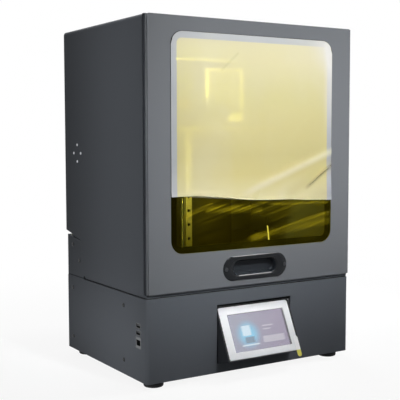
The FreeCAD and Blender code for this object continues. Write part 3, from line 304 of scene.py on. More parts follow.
class Lay(Enum):
    """How a finish's grain is drawn out along the axes."""

    EVEN = (1.0, 1.0, 1.0)
    ALONG_X = (0.03, 1.0, 1.0)
    ALONG_Z = (1.0, 1.0, 0.03)


@dataclass(frozen=True)
class Finish(ABC):
    """A surface finish, whose material is made once."""

    label: str

    def material(self) -> bpy.types.Material:
        """The finish as a Blender material.

        Returns:
            The material, which every piece with the finish shares.
        """
        if self not in MADE:
            made = bpy.data.materials.new(self.label)
            made.use_nodes = True
            graph = Graph(made.node_tree)
            graph.node("ShaderNodeOutputMaterial", sockets={"Surface": self.shade(graph)})
            MADE[self] = made
        return MADE[self]

    @abstractmethod
    def shade(self, graph: Graph) -> Value:
        """The finish's shader."""


MADE: dict[Finish, bpy.types.Material] = {}


@dataclass(frozen=True)
class Solid(Finish):
    """Paint, plastic, rubber or metal, with cloud, grain, and edges lightened partly as wear and partly as a
    painted highlight.
    """

    colour: Colour
    roughness: float = 0.5
    metallic: float = 0.0
    specular: float = 0.4
    coat: float = 0.0
    cloud: float = 0.06
    cloud_size: float = 60 * MM
    grain_size: float = 0.6 * MM
    grain_depth: float = 0.02 * MM
    grain_gloss: float = 0.12
    lay: Lay = Lay.EVEN
    edge: float = 0.0
    wear_and_highlight: float = 0.0

    def shade(self, graph: Graph) -> Value:
        """Base colour with cloud, roughness and relief with grain.

        Args:
            graph: The material's nodes.

        Returns:
            The surface.
        """
        place = graph.place()
        cloud = graph.noise(place, self.cloud_size, detail=3.0)
        grain = graph.noise(graph.stretch(place, self.lay.value), self.grain_size)
        colour = graph.blend(cloud, shaded(self.colour, 1 - self.cloud), shaded(self.colour, 1 + self.cloud))
        rounded = None
        if self.edge:
            rounded = graph.node("ShaderNodeBevel", {"samples": 4}, {"Radius": self.edge})
            turned = 1 - graph.dot(rounded, graph.node("ShaderNodeNewGeometry", out="Normal"))
            # lighter edges: partly worn paint, partly a painted highlight where the edges catch light
            worn_and_highlit = turned.between(0.02, 0.25) * graph.noise(place, 8 * MM).between(0.35, 0.65) * self.wear_and_highlight
            colour = graph.blend(worn_and_highlit, colour, shaded(self.colour, 2.2))
        return graph.surface(
            Base_Color=colour,
            Roughness=self.roughness + (grain - 0.5) * self.grain_gloss + (cloud - 0.5) * 0.1,
            Metallic=self.metallic,
            Specular_IOR_Level=self.specular,
            Coat_Weight=self.coat,
            Coat_Roughness=0.12,
            Normal=graph.bump(grain, self.grain_depth, rounded))


@dataclass(frozen=True)
class Mark:
    """A soft line on the window, with its ends across and up from the pane's lower middle."""

    start: Spot
    end: Spot
    width: float
    share: float = 1.0

    def draw(self, graph: Graph, across: Value, rise: Value) -> Value:
        """How much the mark shows at a place."""
        return graph.line(across, rise, self.start, self.end, self.width) * self.share


@dataclass(frozen=True)
class TintedPane(Finish):
    """Amber acrylic that shows what is behind it, with drawn-out painted reflections."""

    tint: Colour = (0.90, 0.84, 0.28)
    body: Colour = tone(96, 84, 6)
    # Colour, share and bands of the painted reflection.
    sheen: Colour = (0.75, 0.62, 0.02)
    gloss: float = 0.02
    streak: float = 0.14
    low: float = 0.0
    bands: tuple[Mark, ...] = ()
    least: float = 0.16
    swing: float = 0.4
    left_fade: tuple[float, float] = (-135 * MM, -85 * MM)
    wander: float = 12 * MM
    along: Triple = (5.2, 0.0, 1.5)
    across: Triple = (-6.5, 0.0, 24.0)
    fine: Triple = (1.2, 13.0, 1.0)
    line_least: float = 0.25

    def shade(self, graph: Graph) -> Value:
        """Clear amber mixed with slanting bands of painted sheen, each with fine lines.

        Args:
            graph: The material's nodes.

        Returns:
            The pane's shader.
        """
        place = graph.place()
        slant = graph.node("ShaderNodeCombineXYZ", sockets={
            0: graph.dot(place, self.along), 1: graph.dot(place, self.across)})
        bands = graph.noise(slant, 1.0, detail=1.0, distortion=0.7)
        lines = graph.noise(graph.stretch(slant, self.fine), 1.0, detail=3.0)
        across, _, up = graph.axes(place)
        # painted reflection: a faint sheen save at the left end, stronger along the marks, in fine lines
        band = (self.least + bands.between(0.42, 0.75) * self.swing) * across.between(*self.left_fade)
        rise = up - self.low + (bands - 0.5) * self.wander
        for mark in self.bands:
            band = band.at_least(mark.draw(graph, across, rise))
        band = band * (self.line_least + lines.between(0.3, 0.72))
        body = graph.surface(Base_Color=graph.blend(band, self.body, self.sheen),
                             Roughness=0.1 + bands * 0.08, Specular_IOR_Level=0.12)
        clear = graph.node("ShaderNodeBsdfTransparent", sockets={"Color": self.tint})
        return graph.mix(self.gloss + band * self.streak, clear, body)


@dataclass(frozen=True)
class HazyFilm(Finish):
    """Protective film on the window: pale over the border, straw yellow over the amber, with painted light
    and shade.
    """

    half: float
    low: float
    tall: float
    border: float
    corner: float
    crease: Mark
    hollow: Mark
    folds: tuple[Mark, ...]
    cover: float = 0.5
    soft: float = 0.4 * MM
    # Painted glare: a highlight at the top right corner and along the right edge.
    glare_reach: float = 55 * MM
    glare_corner: float = 0.9
    glare_edge: float = 0.65
    glare: Colour = tone(254, 253, 249)
    # Painted sheen in slanting streaks, and the colours of the hollow's painted shade, the crease's painted
    # highlight and the folds' painted shade.
    sheen_share: float = 0.3
    painted_sheen: Colour = tone(244, 240, 220)
    sunk: Colour = tone(190, 178, 104)
    raised: Colour = tone(251, 245, 212)
    fold_share: float = 0.55
    fold_shade: Colour = tone(128, 122, 84)
    # Colours by height are painted reflection, lighter at the foot and the top; the yellow over the amber is
    # painted amber light from behind.
    over_clear: Stops = (
        (0.0, tone(244, 235, 188)), (0.26, tone(242, 233, 182)), (0.35, tone(228, 217, 155)),
        (0.44, tone(220, 210, 152)), (0.56, tone(227, 217, 160)), (0.7, tone(234, 226, 172)),
        (1.0, tone(247, 241, 206)))
    over_border: Stops = (
        (0.0, tone(203, 207, 217)), (0.26, tone(205, 209, 219)), (0.4, tone(190, 194, 199)),
        (0.7, tone(199, 203, 208)), (1.0, tone(219, 222, 225)))

    def shade(self, graph: Graph) -> Value:
        """Colour by place, with painted light and shade, thinner where the film stands off.

        Args:
            graph: The material's nodes.

        Returns:
            The film's surface.
        """
        place = graph.place()
        across, _, up = graph.axes(place)
        rise = up - self.low
        share = rise / self.tall
        clear_half = (self.half - self.border, self.tall / 2 - self.border)
        past = graph.panel(across, rise - self.tall / 2, clear_half, self.corner)
        clear = 1 - past.between(-self.soft, self.soft)
        colour = graph.blend(clear, graph.ramp(share, self.over_border), graph.ramp(share, self.over_clear))
        sheen = graph.noise(graph.stretch(place, (9.0, 1.0, 5.0)), 1.0, detail=2.0, distortion=0.6)
        # painted sheen in slanting streaks
        colour = graph.blend(sheen.between(0.45, 0.75) * self.sheen_share, colour, self.painted_sheen)
        # painted glare at the top right corner and along the right edge
        away = ((across - self.half) ** 2.0 + (share - 1.0) ** 2.0 * 0.06) ** 0.5
        corner = 1 - away.between(0.0, self.glare_reach)
        edge = across.between(0.86 * self.half, 0.97 * self.half) * share.between(0.45, 0.8)
        bright = (corner * self.glare_corner + edge * self.glare_edge).at_most(1.0)
        colour = graph.blend(bright, colour, self.glare)
        # painted shade in the hollow, painted highlight along the crease
        for mark, shown in ((self.hollow, self.sunk), (self.crease, self.raised)):
            colour = graph.blend(mark.draw(graph, across, rise), colour, shown)
        # painted shade along the folds
        fold = self.folds[0].draw(graph, across, rise)
        for extra in self.folds[1:]:
            fold = fold.at_least(extra.draw(graph, across, rise))
        colour = graph.blend(fold * self.fold_share, colour, self.fold_shade)
        loose = across.between(0.55 * self.half, 0.95 * self.half) * (1 - share.between(0.23, 0.33))
        grain = graph.noise(place, 2.5 * MM)
        return graph.surface(
            Base_Color=colour, Roughness=0.32 + (sheen - 0.5) * 0.2, Specular_IOR_Level=0.35,
            Alpha=self.cover + share.between(0.7, 1.0) * 0.08 - fold * 0.15 - loose * 0.1,
            Normal=graph.bump(grain, 0.03 * MM))


@dataclass(frozen=True)
class Slope:
    """A flat face: its middle, its own axes and its size."""

    middle: Triple
    side: Triple
    rise: Triple
    out: Triple
    width: float
    height: float

    def matrix(self) -> Matrix:
        """Turns a piece made round the origin, +Z outwards, onto the face."""
        axes = Matrix((Vector(self.side), Vector(self.rise), Vector(self.out))).transposed().to_4x4()
        return Matrix.Translation(Vector(self.middle)) @ axes

    def spot(self, graph: Graph) -> tuple[Value, Value]:
        """Place across and up the face, from its middle.

        Args:
            graph: The material's nodes.

        Returns:
            The two places in metres.
        """
        place = graph.place()
        middle = Vector(self.middle)
        return (graph.dot(place, self.side) - middle.dot(Vector(self.side)),
                graph.dot(place, self.rise) - middle.dot(Vector(self.rise)))


@dataclass(frozen=True)
class CoverGlass(Finish):
    """Cover glass with a white printed bezel and a hazy view."""

    view: Slope
    bezel: Colour = tone(246, 248, 251)
    clear: Colour = (0.97, 0.98, 0.98)
    corner: float = 1 * MM
    soft: float = 0.2 * MM
    haze: float = 0.12

    def shade(self, graph: Graph) -> Value:
        """White round the view, nearly clear over it.

        Args:
            graph: The material's nodes.

        Returns:
            The glass's shader.
        """
        across, along = self.view.spot(graph)
        half = (self.view.width / 2, self.view.height / 2)
        printed = graph.panel(across, along, half, self.corner).between(-self.soft, self.soft)
        cloud = graph.noise(graph.place(), 45 * MM)
        white = graph.surface(
            Base_Color=graph.blend(cloud, shaded(self.bezel, 0.96), self.bezel),
            Roughness=0.16 + cloud * 0.08, Specular_IOR_Level=0.5)
        clear = graph.node("ShaderNodeBsdfTransparent", sockets={"Color": self.clear})
        return graph.mix(self.haze + printed * (1 - self.haze), clear, white)


@dataclass(frozen=True)
class Tile:
    """A shape on a page, its place and half size as shares of the page's half size."""

    spot: Spot
    half: Spot
    colour: Colour


@dataclass(frozen=True)
class LitDisplay(Finish):
    """A lit screen with a plain page: glowing tiles, bars and a button."""

    face: Slope
    dark: Colour = tone(160, 148, 170)
    light: Colour = tone(164, 164, 180)
    glow: Colour = tone(138, 206, 240)
    glow_spot: Spot = (-0.38, -0.12)
    glow_reach: tuple[float, float] = (7 * MM, 26 * MM)
    corner: float = 1.2 * MM
    soft: float = 0.3 * MM
    tile_share: float = 0.8
    tiles: tuple[Tile, ...] = (
        Tile((-0.42, 0.08), (0.15, 0.27), tone(232, 246, 253)),
        Tile((-0.36, -0.42), (0.16, 0.16), tone(126, 134, 146)),
        Tile((-0.36, -0.68), (0.30, 0.035), tone(232, 246, 253)),
        Tile((0.36, 0.22), (0.20, 0.035), tone(204, 198, 208)),
        Tile((0.30, 0.04), (0.14, 0.03), tone(204, 198, 208)),
        Tile((0.48, -0.5), (0.38, 0.17), tone(204, 198, 208)))

    def shade(self, graph: Graph) -> Value:
        """The page's shapes, drawn by place.

        Args:
            graph: The material's nodes.

        Returns:
            The glowing surface.
        """
        across, along = self.face.spot(graph)
        half_wide, half_tall = self.face.width / 2, self.face.height / 2
        page = graph.blend((across / half_wide * 0.5 + 0.5).between(0.0, 1.0), self.light, self.dark)
        left, low = self.glow_spot
        away = ((across - left * half_wide) ** 2.0 + (along - low * half_tall) ** 2.0) ** 0.5
        page = graph.blend(1 - away.between(*self.glow_reach), page, self.glow)
        for tile in self.tiles:
            half = (tile.half[0] * half_wide, tile.half[1] * half_tall)
            shape = graph.panel(across - tile.spot[0] * half_wide, along - tile.spot[1] * half_tall, half,
                                min(self.corner, half[1]))
            inside = 1 - shape.between(-self.soft, self.soft)
            page = graph.blend(inside * self.tile_share, page, tile.colour)
        return graph.surface(Base_Color=(0.01, 0.01, 0.012), Roughness=0.3, Emission_Color=page,
                             Emission_Strength=0.9)


@dataclass(frozen=True)
class PullTab(Finish):
    """White film tab with a yellow end."""

    face: Slope
    end_share: float = 0.32
    end: Colour = tone(222, 214, 92)
    film: Colour = tone(250, 250, 252)
    soft: float = 0.4 * MM

    def shade(self, graph: Graph) -> Value:
        """Yellow at the lower end, white above.

        Args:
            graph: The material's nodes.

        Returns:
            The tab's surface.
        """
        _, along = self.face.spot(graph)
        border = (self.end_share - 0.5) * self.face.height
        cloud = graph.noise(graph.place(), 4 * MM)
        colour = graph.blend(along.between(border - self.soft, border + self.soft), self.end, self.film)
        return graph.surface(Base_Color=colour, Roughness=0.3 + cloud * 0.1, Specular_IOR_Level=0.4)


@dataclass(frozen=True)
class PlatformMetal(Finish):
    """Ground aluminium plate under a black block."""

    level: float
    bright: Colour = tone(150, 152, 155)
    black: Colour = tone(34, 35, 38)

    def shade(self, graph: Graph) -> Value:
        """Scratched metal below the level, anodised black above it.

        Args:
            graph: The material's nodes.

        Returns:
            The platform's surface.
        """
        place = graph.place()
        _, _, up = graph.axes(place)
        block = up.between(self.level + 0.2 * MM, self.level + 0.5 * MM)
        scratch = graph.noise(graph.stretch(place, Lay.ALONG_X.value), 0.5 * MM, detail=3.0)
        cloud = graph.noise(place, 30 * MM)
        metal = graph.blend(cloud, shaded(self.bright, 0.9), self.bright)
        return graph.surface(
            Base_Color=graph.blend(block, metal, self.black), Metallic=0.3 - block * 0.2,
            Roughness=0.34 + (scratch - 0.5) * 0.2 + block * 0.18, Normal=graph.bump(scratch, 0.02 * MM))


@dataclass(frozen=True)
class CircuitBoard(Finish):
    """Green board with buried tracks and bright pads."""

    green: Colour = tone(28, 74, 46)
    track: Colour = tone(46, 104, 66)
    pad: Colour = tone(196, 178, 120)

    def shade(self, graph: Graph) -> Value:
        """Tracks along both axes and scattered pads.

        Args:
            graph: The material's nodes.

        Returns:
            The board's surface.
        """
        place = graph.place()
        lengthways = graph.noise(graph.stretch(place, (0.06, 1.0, 1.0)), 1.6 * MM).between(0.52, 0.56)
        crossways = graph.noise(graph.stretch(place, (1.0, 0.06, 1.0)), 1.6 * MM).between(0.55, 0.59)
        tracks = lengthways.at_least(crossways)
        pads = graph.noise(place, 2.4 * MM, detail=0.0).between(0.70, 0.72)
        colour = graph.blend(pads, graph.blend(tracks, self.green, self.track), self.pad)
        return graph.surface(Base_Color=colour, Roughness=0.42 - pads * 0.12, Metallic=pads,
                             Normal=graph.bump(tracks + pads, 0.03 * MM))


GRAPHITE = Solid("graphite_paint", tone(96, 100, 106), roughness=0.66, specular=0.08, cloud=0.04,
                 cloud_size=0.2, grain_size=0.9 * MM, grain_depth=0.03 * MM, edge=0.9 * MM, wear_and_highlight=0.35)
# The graphite paint made lighter and glossier for the hood's front and the hems: painted light for the
# brighter front.
LIT_FRONT_PAINT = Solid("front_panel_lit_paint", tone(106, 109, 113), roughness=0.5, specular=0.2, cloud=0.03,
                    cloud_size=0.2, grain_size=0.9 * MM, grain_depth=0.03 * MM, edge=0.9 * MM, wear_and_highlight=0.25)
BLACK_PAINT = Solid("black_paint", tone(34, 36, 38), roughness=0.6, specular=0.3, grain_depth=0.03 * MM)
BORDER_PRINT = Solid("window_border_print", tone(24, 25, 24), roughness=0.4, specular=0.05, cloud=0.1)
BLACK_PLASTIC = Solid("black_plastic", tone(44, 47, 51), roughness=0.45, specular=0.42, grain_size=0.5 * MM,
                      grain_depth=0.03 * MM)
PULL_PLASTIC = Solid("pull_plastic", tone(16, 19, 23), roughness=0.2, specular=0.14, coat=0.1,
                     grain_size=0.5 * MM, grain_depth=0.006 * MM)
# A matt copy of the pull's plastic for the hollow, so that it renders darker: painted shade.
CUP_SHADE_PLASTIC = Solid("cup_shade_plastic", tone(40, 44, 49), roughness=0.5, specular=0.12, grain_size=0.5 * MM)
VAT_METAL = Solid("vat_metal", tone(120, 122, 126), roughness=0.55, metallic=0.7, cloud=0.06,
                  cloud_size=40 * MM, grain_size=0.35 * MM, grain_depth=0.012 * MM, lay=Lay.ALONG_X)
# Dark strips in the seams: painted shade where the real seams are gaps in shadow.
SEAM_SHADE = Solid("seam_shade", tone(52, 55, 60), roughness=0.65, specular=0.1, grain_size=0.8 * MM)
PORT_SHELL = Solid("port_shell", tone(104, 106, 108), roughness=0.34, metallic=1.0, cloud=0.08,
                   cloud_size=8 * MM, grain_size=0.3 * MM, grain_depth=0.01 * MM)
CONSOLE_PLASTIC = Solid("console_plastic", tone(38, 40, 44), roughness=0.45, specular=0.3,
                        grain_size=0.5 * MM)
RUBBER = Solid("black_rubber", tone(30, 31, 33), roughness=0.75, specular=0.25, grain_size=0.8 * MM,
               grain_depth=0.05 * MM, cloud=0.15)
DARK_STEEL = Solid("blackened_steel", tone(52, 53, 55), roughness=0.36, metallic=0.75, cloud=0.12,
                   cloud_size=6 * MM, grain_size=0.3 * MM)
PULL_SCREW = Solid("pull_screw", tone(60, 62, 65), roughness=0.3, metallic=0.9, cloud=0.1, cloud_size=4 * MM,
                   grain_size=0.3 * MM, grain_depth=0.008 * MM)
BRIGHT_STEEL = Solid("bright_steel", tone(206, 208, 210), roughness=0.24, metallic=1.0, cloud=0.06,
                     cloud_size=12 * MM, grain_size=0.3 * MM, grain_depth=0.008 * MM, lay=Lay.ALONG_Z)
ZINC = Solid("zinc_screw", tone(186, 188, 192), roughness=0.3, metallic=1.0, cloud=0.1, cloud_size=4 * MM,
             grain_size=0.3 * MM, grain_depth=0.01 * MM)
GUARD_WIRE = Solid("guard_wire", tone(150, 152, 156), roughness=0.3, metallic=1.0, cloud=0.08,
                   cloud_size=6 * MM, grain_size=0.3 * MM, grain_depth=0.01 * MM)
NICKEL = Solid("nickel_shell", tone(212, 212, 208), roughness=0.26, metallic=1.0, cloud=0.08,
               cloud_size=8 * MM, grain_size=0.3 * MM, grain_depth=0.01 * MM)
ALUMINIUM = Solid("anodised_aluminium", tone(186, 189, 193), roughness=0.34, metallic=0.9, cloud=0.05,
                  cloud_size=50 * MM, grain_size=0.35 * MM, grain_depth=0.012 * MM, lay=Lay.ALONG_X)
RAIL_STEEL = Solid("rail_steel", tone(200, 200, 198), roughness=0.3, metallic=0.5, cloud=0.06,
                   cloud_size=12 * MM, grain_size=0.3 * MM, grain_depth=0.008 * MM, lay=Lay.ALONG_Z)
SCREW_STEEL = Solid("screw_steel", tone(150, 152, 155), roughness=0.24, metallic=1.0, cloud=0.06,
                    cloud_size=12 * MM, grain_size=0.3 * MM, grain_depth=0.008 * MM)
BLACK_ANODISED = Solid("black_anodised", tone(36, 37, 40), roughness=0.55, metallic=0.15, cloud=0.08,
                       cloud_size=60 * MM, grain_size=0.35 * MM, grain_depth=0.015 * MM, lay=Lay.ALONG_Z)
MOTOR_CASE = Solid("motor_case", tone(60, 61, 64), roughness=0.4, metallic=0.6, grain_size=0.4 * MM)
BRASS = Solid("brass_nut", tone(112, 96, 64), roughness=0.42, metallic=1.0, cloud=0.1, cloud_size=10 * MM,
              grain_size=0.3 * MM)
GOLD_CONTACT = Solid("gold_contact", tone(222, 184, 104), roughness=0.25, metallic=1.0, cloud_size=3 * MM)
MARK_PRINT = Solid("white_mark", tone(226, 227, 228), roughness=0.5, cloud_size=5 * MM)
PLATE_PAINT = Solid("pale_plate", tone(184, 184, 178), roughness=0.45, cloud=0.03, cloud_size=40 * MM,
                    grain_size=0.8 * MM)
PLATE_INLAY = Solid("plate_inlay", tone(108, 108, 104), roughness=0.5, cloud=0.04, cloud_size=30 * MM)
PLATE_STRIP = Solid("plate_strip", tone(70, 70, 70), roughness=0.5, cloud=0.04, cloud_size=30 * MM)
LCD_MASK = Solid("lcd_mask", tone(20, 22, 27), roughness=0.12, specular=0.6, coat=0.4, cloud=0.15,
                 cloud_size=30 * MM, grain_depth=0.0)
# The vat film's sheen is painted reflection.
VAT_FILM = TintedPane("vat_film", tint=(0.93, 0.94, 0.93), body=tone(205, 208, 208),
                      sheen=tone(235, 238, 240), gloss=0.1, streak=0.08)


@dataclass(frozen=True)
class Box:
    """Lowest and highest corners of something."""

    low: Vector
    high: Vector

    @classmethod
    def of(cls, node: str) -> Box:
        """Box of a node at rest."""
        return cls(*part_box(node))

    @property
    def centre(self) -> Vector:
        """Middle of the box."""
        return (self.low + self.high) / 2

    @property
    def size(self) -> Vector:
        """Lengths of the box's sides."""
        return self.high - self.low


def solids(node: str) -> list[Box]:
    """Boxes of a node's separate solids.

    Args:
        node: The node's name.

    Returns:
        One box for each solid, from left to right, then from front to rear.
    """
    mesh = bmesh.new()
    mesh.from_mesh(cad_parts[node].data)
    bmesh.ops.remove_doubles(mesh, verts=mesh.verts, dist=WELD)
    left = set(mesh.verts)
    boxes = []
    while left:
        fresh = [left.pop()]
        points = []
        while fresh:
            vert = fresh.pop()
            points.append(vert.co.copy())
            near = {edge.other_vert(vert) for edge in vert.link_edges} & left
            left -= near
            fresh.extend(near)
        boxes.append(Box(Vector(map(min, *points)), Vector(map(max, *points))))
    mesh.free()
    return sorted(boxes, key=lambda box: tuple(round(level, 6) for level in box.centre))


def broad_faces(node: str, toward: Vector, count: int = 1) -> list[Slope]:
    """The broadest flat faces of a node that look one way.

    Args:
        node: The node's name.
        toward: The way they look, roughly.
        count: How many to give.

    Returns:
        The faces, the broadest first.
    """
    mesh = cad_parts[node].data
    flats: dict[tuple[float, ...], list[bpy.types.MeshPolygon]] = {}
    for polygon in mesh.polygons:
        if polygon.normal.dot(toward) > 0.5:
            offset = polygon.normal.dot(mesh.vertices[polygon.vertices[0]].co)
            key = (*(round(part, 2) for part in polygon.normal), round(offset, 4))
            flats.setdefault(key, []).append(polygon)
    broadest = sorted(flats.values(), key=lambda flat: -sum(polygon.area for polygon in flat))
    return [flat_slope(mesh, flat) for flat in broadest[:count]]


def flat_slope(mesh: bpy.types.Mesh, flat: Sequence[bpy.types.MeshPolygon]) -> Slope:
    """Axes, middle and size of a flat made of several polygons.

    Args:
        mesh: The mesh that they belong to.
        flat: The polygons, all in one plane.

    Returns:
        The flat as a face.
    """
    out = flat[0].normal.normalized()
    side = Vector((0, 0, 1)).cross(out).normalized()
    rise = out.cross(side)
    points = [mesh.vertices[index].co for polygon in flat for index in polygon.vertices]
    across = [point.dot(side) for point in points]
    along = [point.dot(rise) for point in points]
    middle = (side * (min(across) + max(across)) / 2 + rise * (min(along) + max(along)) / 2
              + out * points[0].dot(out))
    return Slope(tuple(middle), tuple(side), tuple(rise), tuple(out), max(across) - min(across),
                 max(along) - min(along))


class Facing(Enum):
    """Which way a small piece's own +Z points."""

    FRONT = (0.0, -1.0, 0.0)
    REAR = (0.0, 1.0, 0.0)
    LEFT = (-1.0, 0.0, 0.0)
    RIGHT = (1.0, 0.0, 0.0)
    UP = (0.0, 0.0, 1.0)

    def at(self, point: Vector) -> Matrix:
        """Stands a piece on a point, its own +Y as high as it goes.

        Args:
            point: Where its origin goes.

        Returns:
            The piece's place.
        """
        out = Vector(self.value)
        high = Vector((0, 1, 0)) if self is Facing.UP else Vector((0, 0, 1))
        axes = Matrix((high.cross(out), high, out)).transposed().to_4x4()
        return Matrix.Translation(point) @ axes


def circle(radius: float, height: float, count: int = 32) -> Loop:
    """Round loop at a height."""
    return polar(lambda angle: radius, height, count)


def polar(reach: Callable[[float], float], height: float, count: int) -> Loop:
    """Loop whose distance from the middle depends on the angle.

    Args:
        reach: Distance from the middle at an angle.
        height: Height of the loop.
        count: Number of points.

    Returns:
        The loop.
    """
    loop = []
    for step in range(count):
        angle = math.tau * step / count
        distance = reach(angle)
        loop.append(Vector((distance * math.cos(angle), distance * math.sin(angle), height)))
    return loop


def rounded(half: tuple[float, float], radius: float, height: float, steps: int = 10) -> Loop:
    """Rounded rectangle round the origin at a height.

    Args:
        half: Half its width and half its depth.
        radius: Radius of its corners.
        height: Height of the loop.
        steps: Points along each corner.

    Returns:
        The loop.
    """
    loop = []
    for corner, (right, up) in enumerate(((1, 1), (-1, 1), (-1, -1), (1, -1))):
        middle = Vector((right * (half[0] - radius), up * (half[1] - radius), height))
        for step in range(steps):
            angle = math.pi / 2 * (corner + step / (steps - 1))
            loop.append(middle + Vector((radius * math.cos(angle), radius * math.sin(angle), 0)))
    return loop


class Shape:
    """Points and faces of a piece in the making."""

    def __init__(self) -> None:
        """Starts with nothing."""
        self.points: list[Vector] = []
        self.faces: list[tuple[int, ...]] = []

    def loft(self, loops: Sequence[Loop], matrix: Matrix = Matrix(), closed: bool = False) -> Shape:
        """Adds a skin over loops of as many points each.

        Args:
            loops: The loops in order.
            matrix: Where the skin goes.
            closed: Joins the last loop to the first, and otherwise caps both.

        Returns:
            The shape itself.
        """
        start, count, rows = len(self.points), len(loops[0]), len(loops)
        self.points.extend(matrix @ point for loop in loops for point in loop)
        for row in range(rows if closed else rows - 1):
            low, high = start + row * count, start + (row + 1) % rows * count
            for index in range(count):
                after = (index + 1) % count
                self.faces.append((low + index, low + after, high + after, high + index))
        if not closed:
            top = start + (rows - 1) * count
            self.faces.append(tuple(range(start + count - 1, start - 1, -1)))
            self.faces.append(tuple(range(top, top + count)))
        return self

    def lathe(self, profile: Sequence[tuple[float, float]], matrix: Matrix = Matrix(),
              count: int = 40) -> Shape:
        """Adds a turned body, its profile as radius and height."""
        return self.loft([circle(radius, height, count) for radius, height in profile], matrix)

    def slab(self, half: tuple[float, float], thickness: float, matrix: Matrix, radius: float,
             bevel: float = 0.2 * MM) -> Shape:
        """Adds a plate that stands on the origin, with rounded corners and a bevelled rim.

        Args:
            half: Half its width and half its depth.
            thickness: Its height.
            matrix: Where it goes.
            radius: Radius of its corners.
            bevel: Width of the bevel round its top.

        Returns:
            The shape itself.
        """
        inner = (half[0] - bevel, half[1] - bevel)
        return self.loft([rounded(half, radius, 0), rounded(half, radius, thickness - bevel),
                          rounded(inner, max(radius - bevel, 0.02 * MM), thickness)], matrix)

    def wire(self, path: Sequence[Vector], thickness: float, matrix: Matrix, closed: bool = False) -> Shape:
        """Adds a round wire along points of a flat path.

        Args:
            path: Points in the plane of the first two axes.
            thickness: The wire's diameter.
            matrix: Where it goes.
            closed: Joins its ends.

        Returns:
            The shape itself.
        """
        loops = []
        count = len(path)
        for index, point in enumerate(path):
            before = path[index - 1] if closed or index else point
            after = path[(index + 1) % count] if closed or index < count - 1 else point
            run = (after - before).normalized()
            side, up = Vector((run.y, -run.x, 0)), Vector((0, 0, 1))
            loops.append([point + (side * math.cos(turn) + up * math.sin(turn)) * thickness / 2
                          for turn in (math.tau * step / 10 for step in range(10))])
        return self.loft(loops, matrix, closed)

    def mesh(self, name: str, sharp: float = 32.0) -> bpy.types.Mesh:
        """The shape as a mesh.

        Args:
            name: The mesh's name.
            sharp: Angle in degrees above which an edge stays crisp.

        Returns:
            The mesh, smooth with crisp edges.
        """
        mesh = bpy.data.meshes.new(name)
        mesh.from_pydata([tuple(point) for point in self.points], [], self.faces)
        work = bmesh.new()
        work.from_mesh(mesh)
        bmesh.ops.recalc_face_normals(work, faces=work.faces)
        work.to_mesh(mesh)
        work.free()
        mesh.shade_smooth()
        mesh.set_sharp_from_angle(angle=math.radians(sharp))
        return mesh


def add_piece(name: str, shape: Shape, finish: Finish, body: str,
              stands_for: Sequence[str] = ()) -> None:
    """Puts a piece into the scene, on its body.

    Args:
        name: The piece's name.
        shape: Its shape, in place.
        finish: Its finish.
        body: The body it rides on.
        stands_for: Nodes that it replaces.
    """
    piece = bpy.data.objects.new(name, shape.mesh(name))
    bpy.context.scene.collection.objects.link(piece)
    piece.data.materials.append(finish.material())
    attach(piece, body)
    if stands_for:
        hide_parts(*stands_for)
    LOG.info("%s: %d faces, rides on %s", name, len(piece.data.polygons), body)


def dress(finish: Finish, *nodes: str) -> None:
    """Gives nodes of the frame their finish.

    Args:
        finish: The finish.
        nodes: The nodes' names.
    """
    for node in nodes:
        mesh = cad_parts[node].data
        mesh.materials.clear()
        mesh.materials.append(finish.material())
        LOG.info("%s: %s", node, finish.label)


class Assembly(ABC):
    """A group of pieces that belong together."""

    @abstractmethod
    def build(self) -> None:
        """Makes and dresses the group's pieces."""


@dataclass
class Lamp:
    """A soft lamp, square unless it has a height of its own, that may move with a body."""

    name: str
    place: Triple
    aim: Triple
    side: float
    power: float
    spread: float = 180.0
    tall: Optional[float] = None
    body: Optional[str] = None

    def add(self) -> None:
        """Hangs the lamp and turns it to its aim."""
        data = bpy.data.lights.new(self.name, "AREA")
        data.shape = "RECTANGLE"
        data.size = self.side
        data.size_y = self.tall or self.side
        data.energy = self.power
        data.spread = math.radians(self.spread)
        lamp = bpy.data.objects.new(self.name, data)
        bpy.context.scene.collection.objects.link(lamp)
        lamp.location = self.place
        lamp.rotation_euler = (Vector(self.aim) - Vector(self.place)).to_track_quat("-Z", "Y").to_euler()
        lamp.visible_camera = False
        if self.body:
            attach(lamp, self.body)


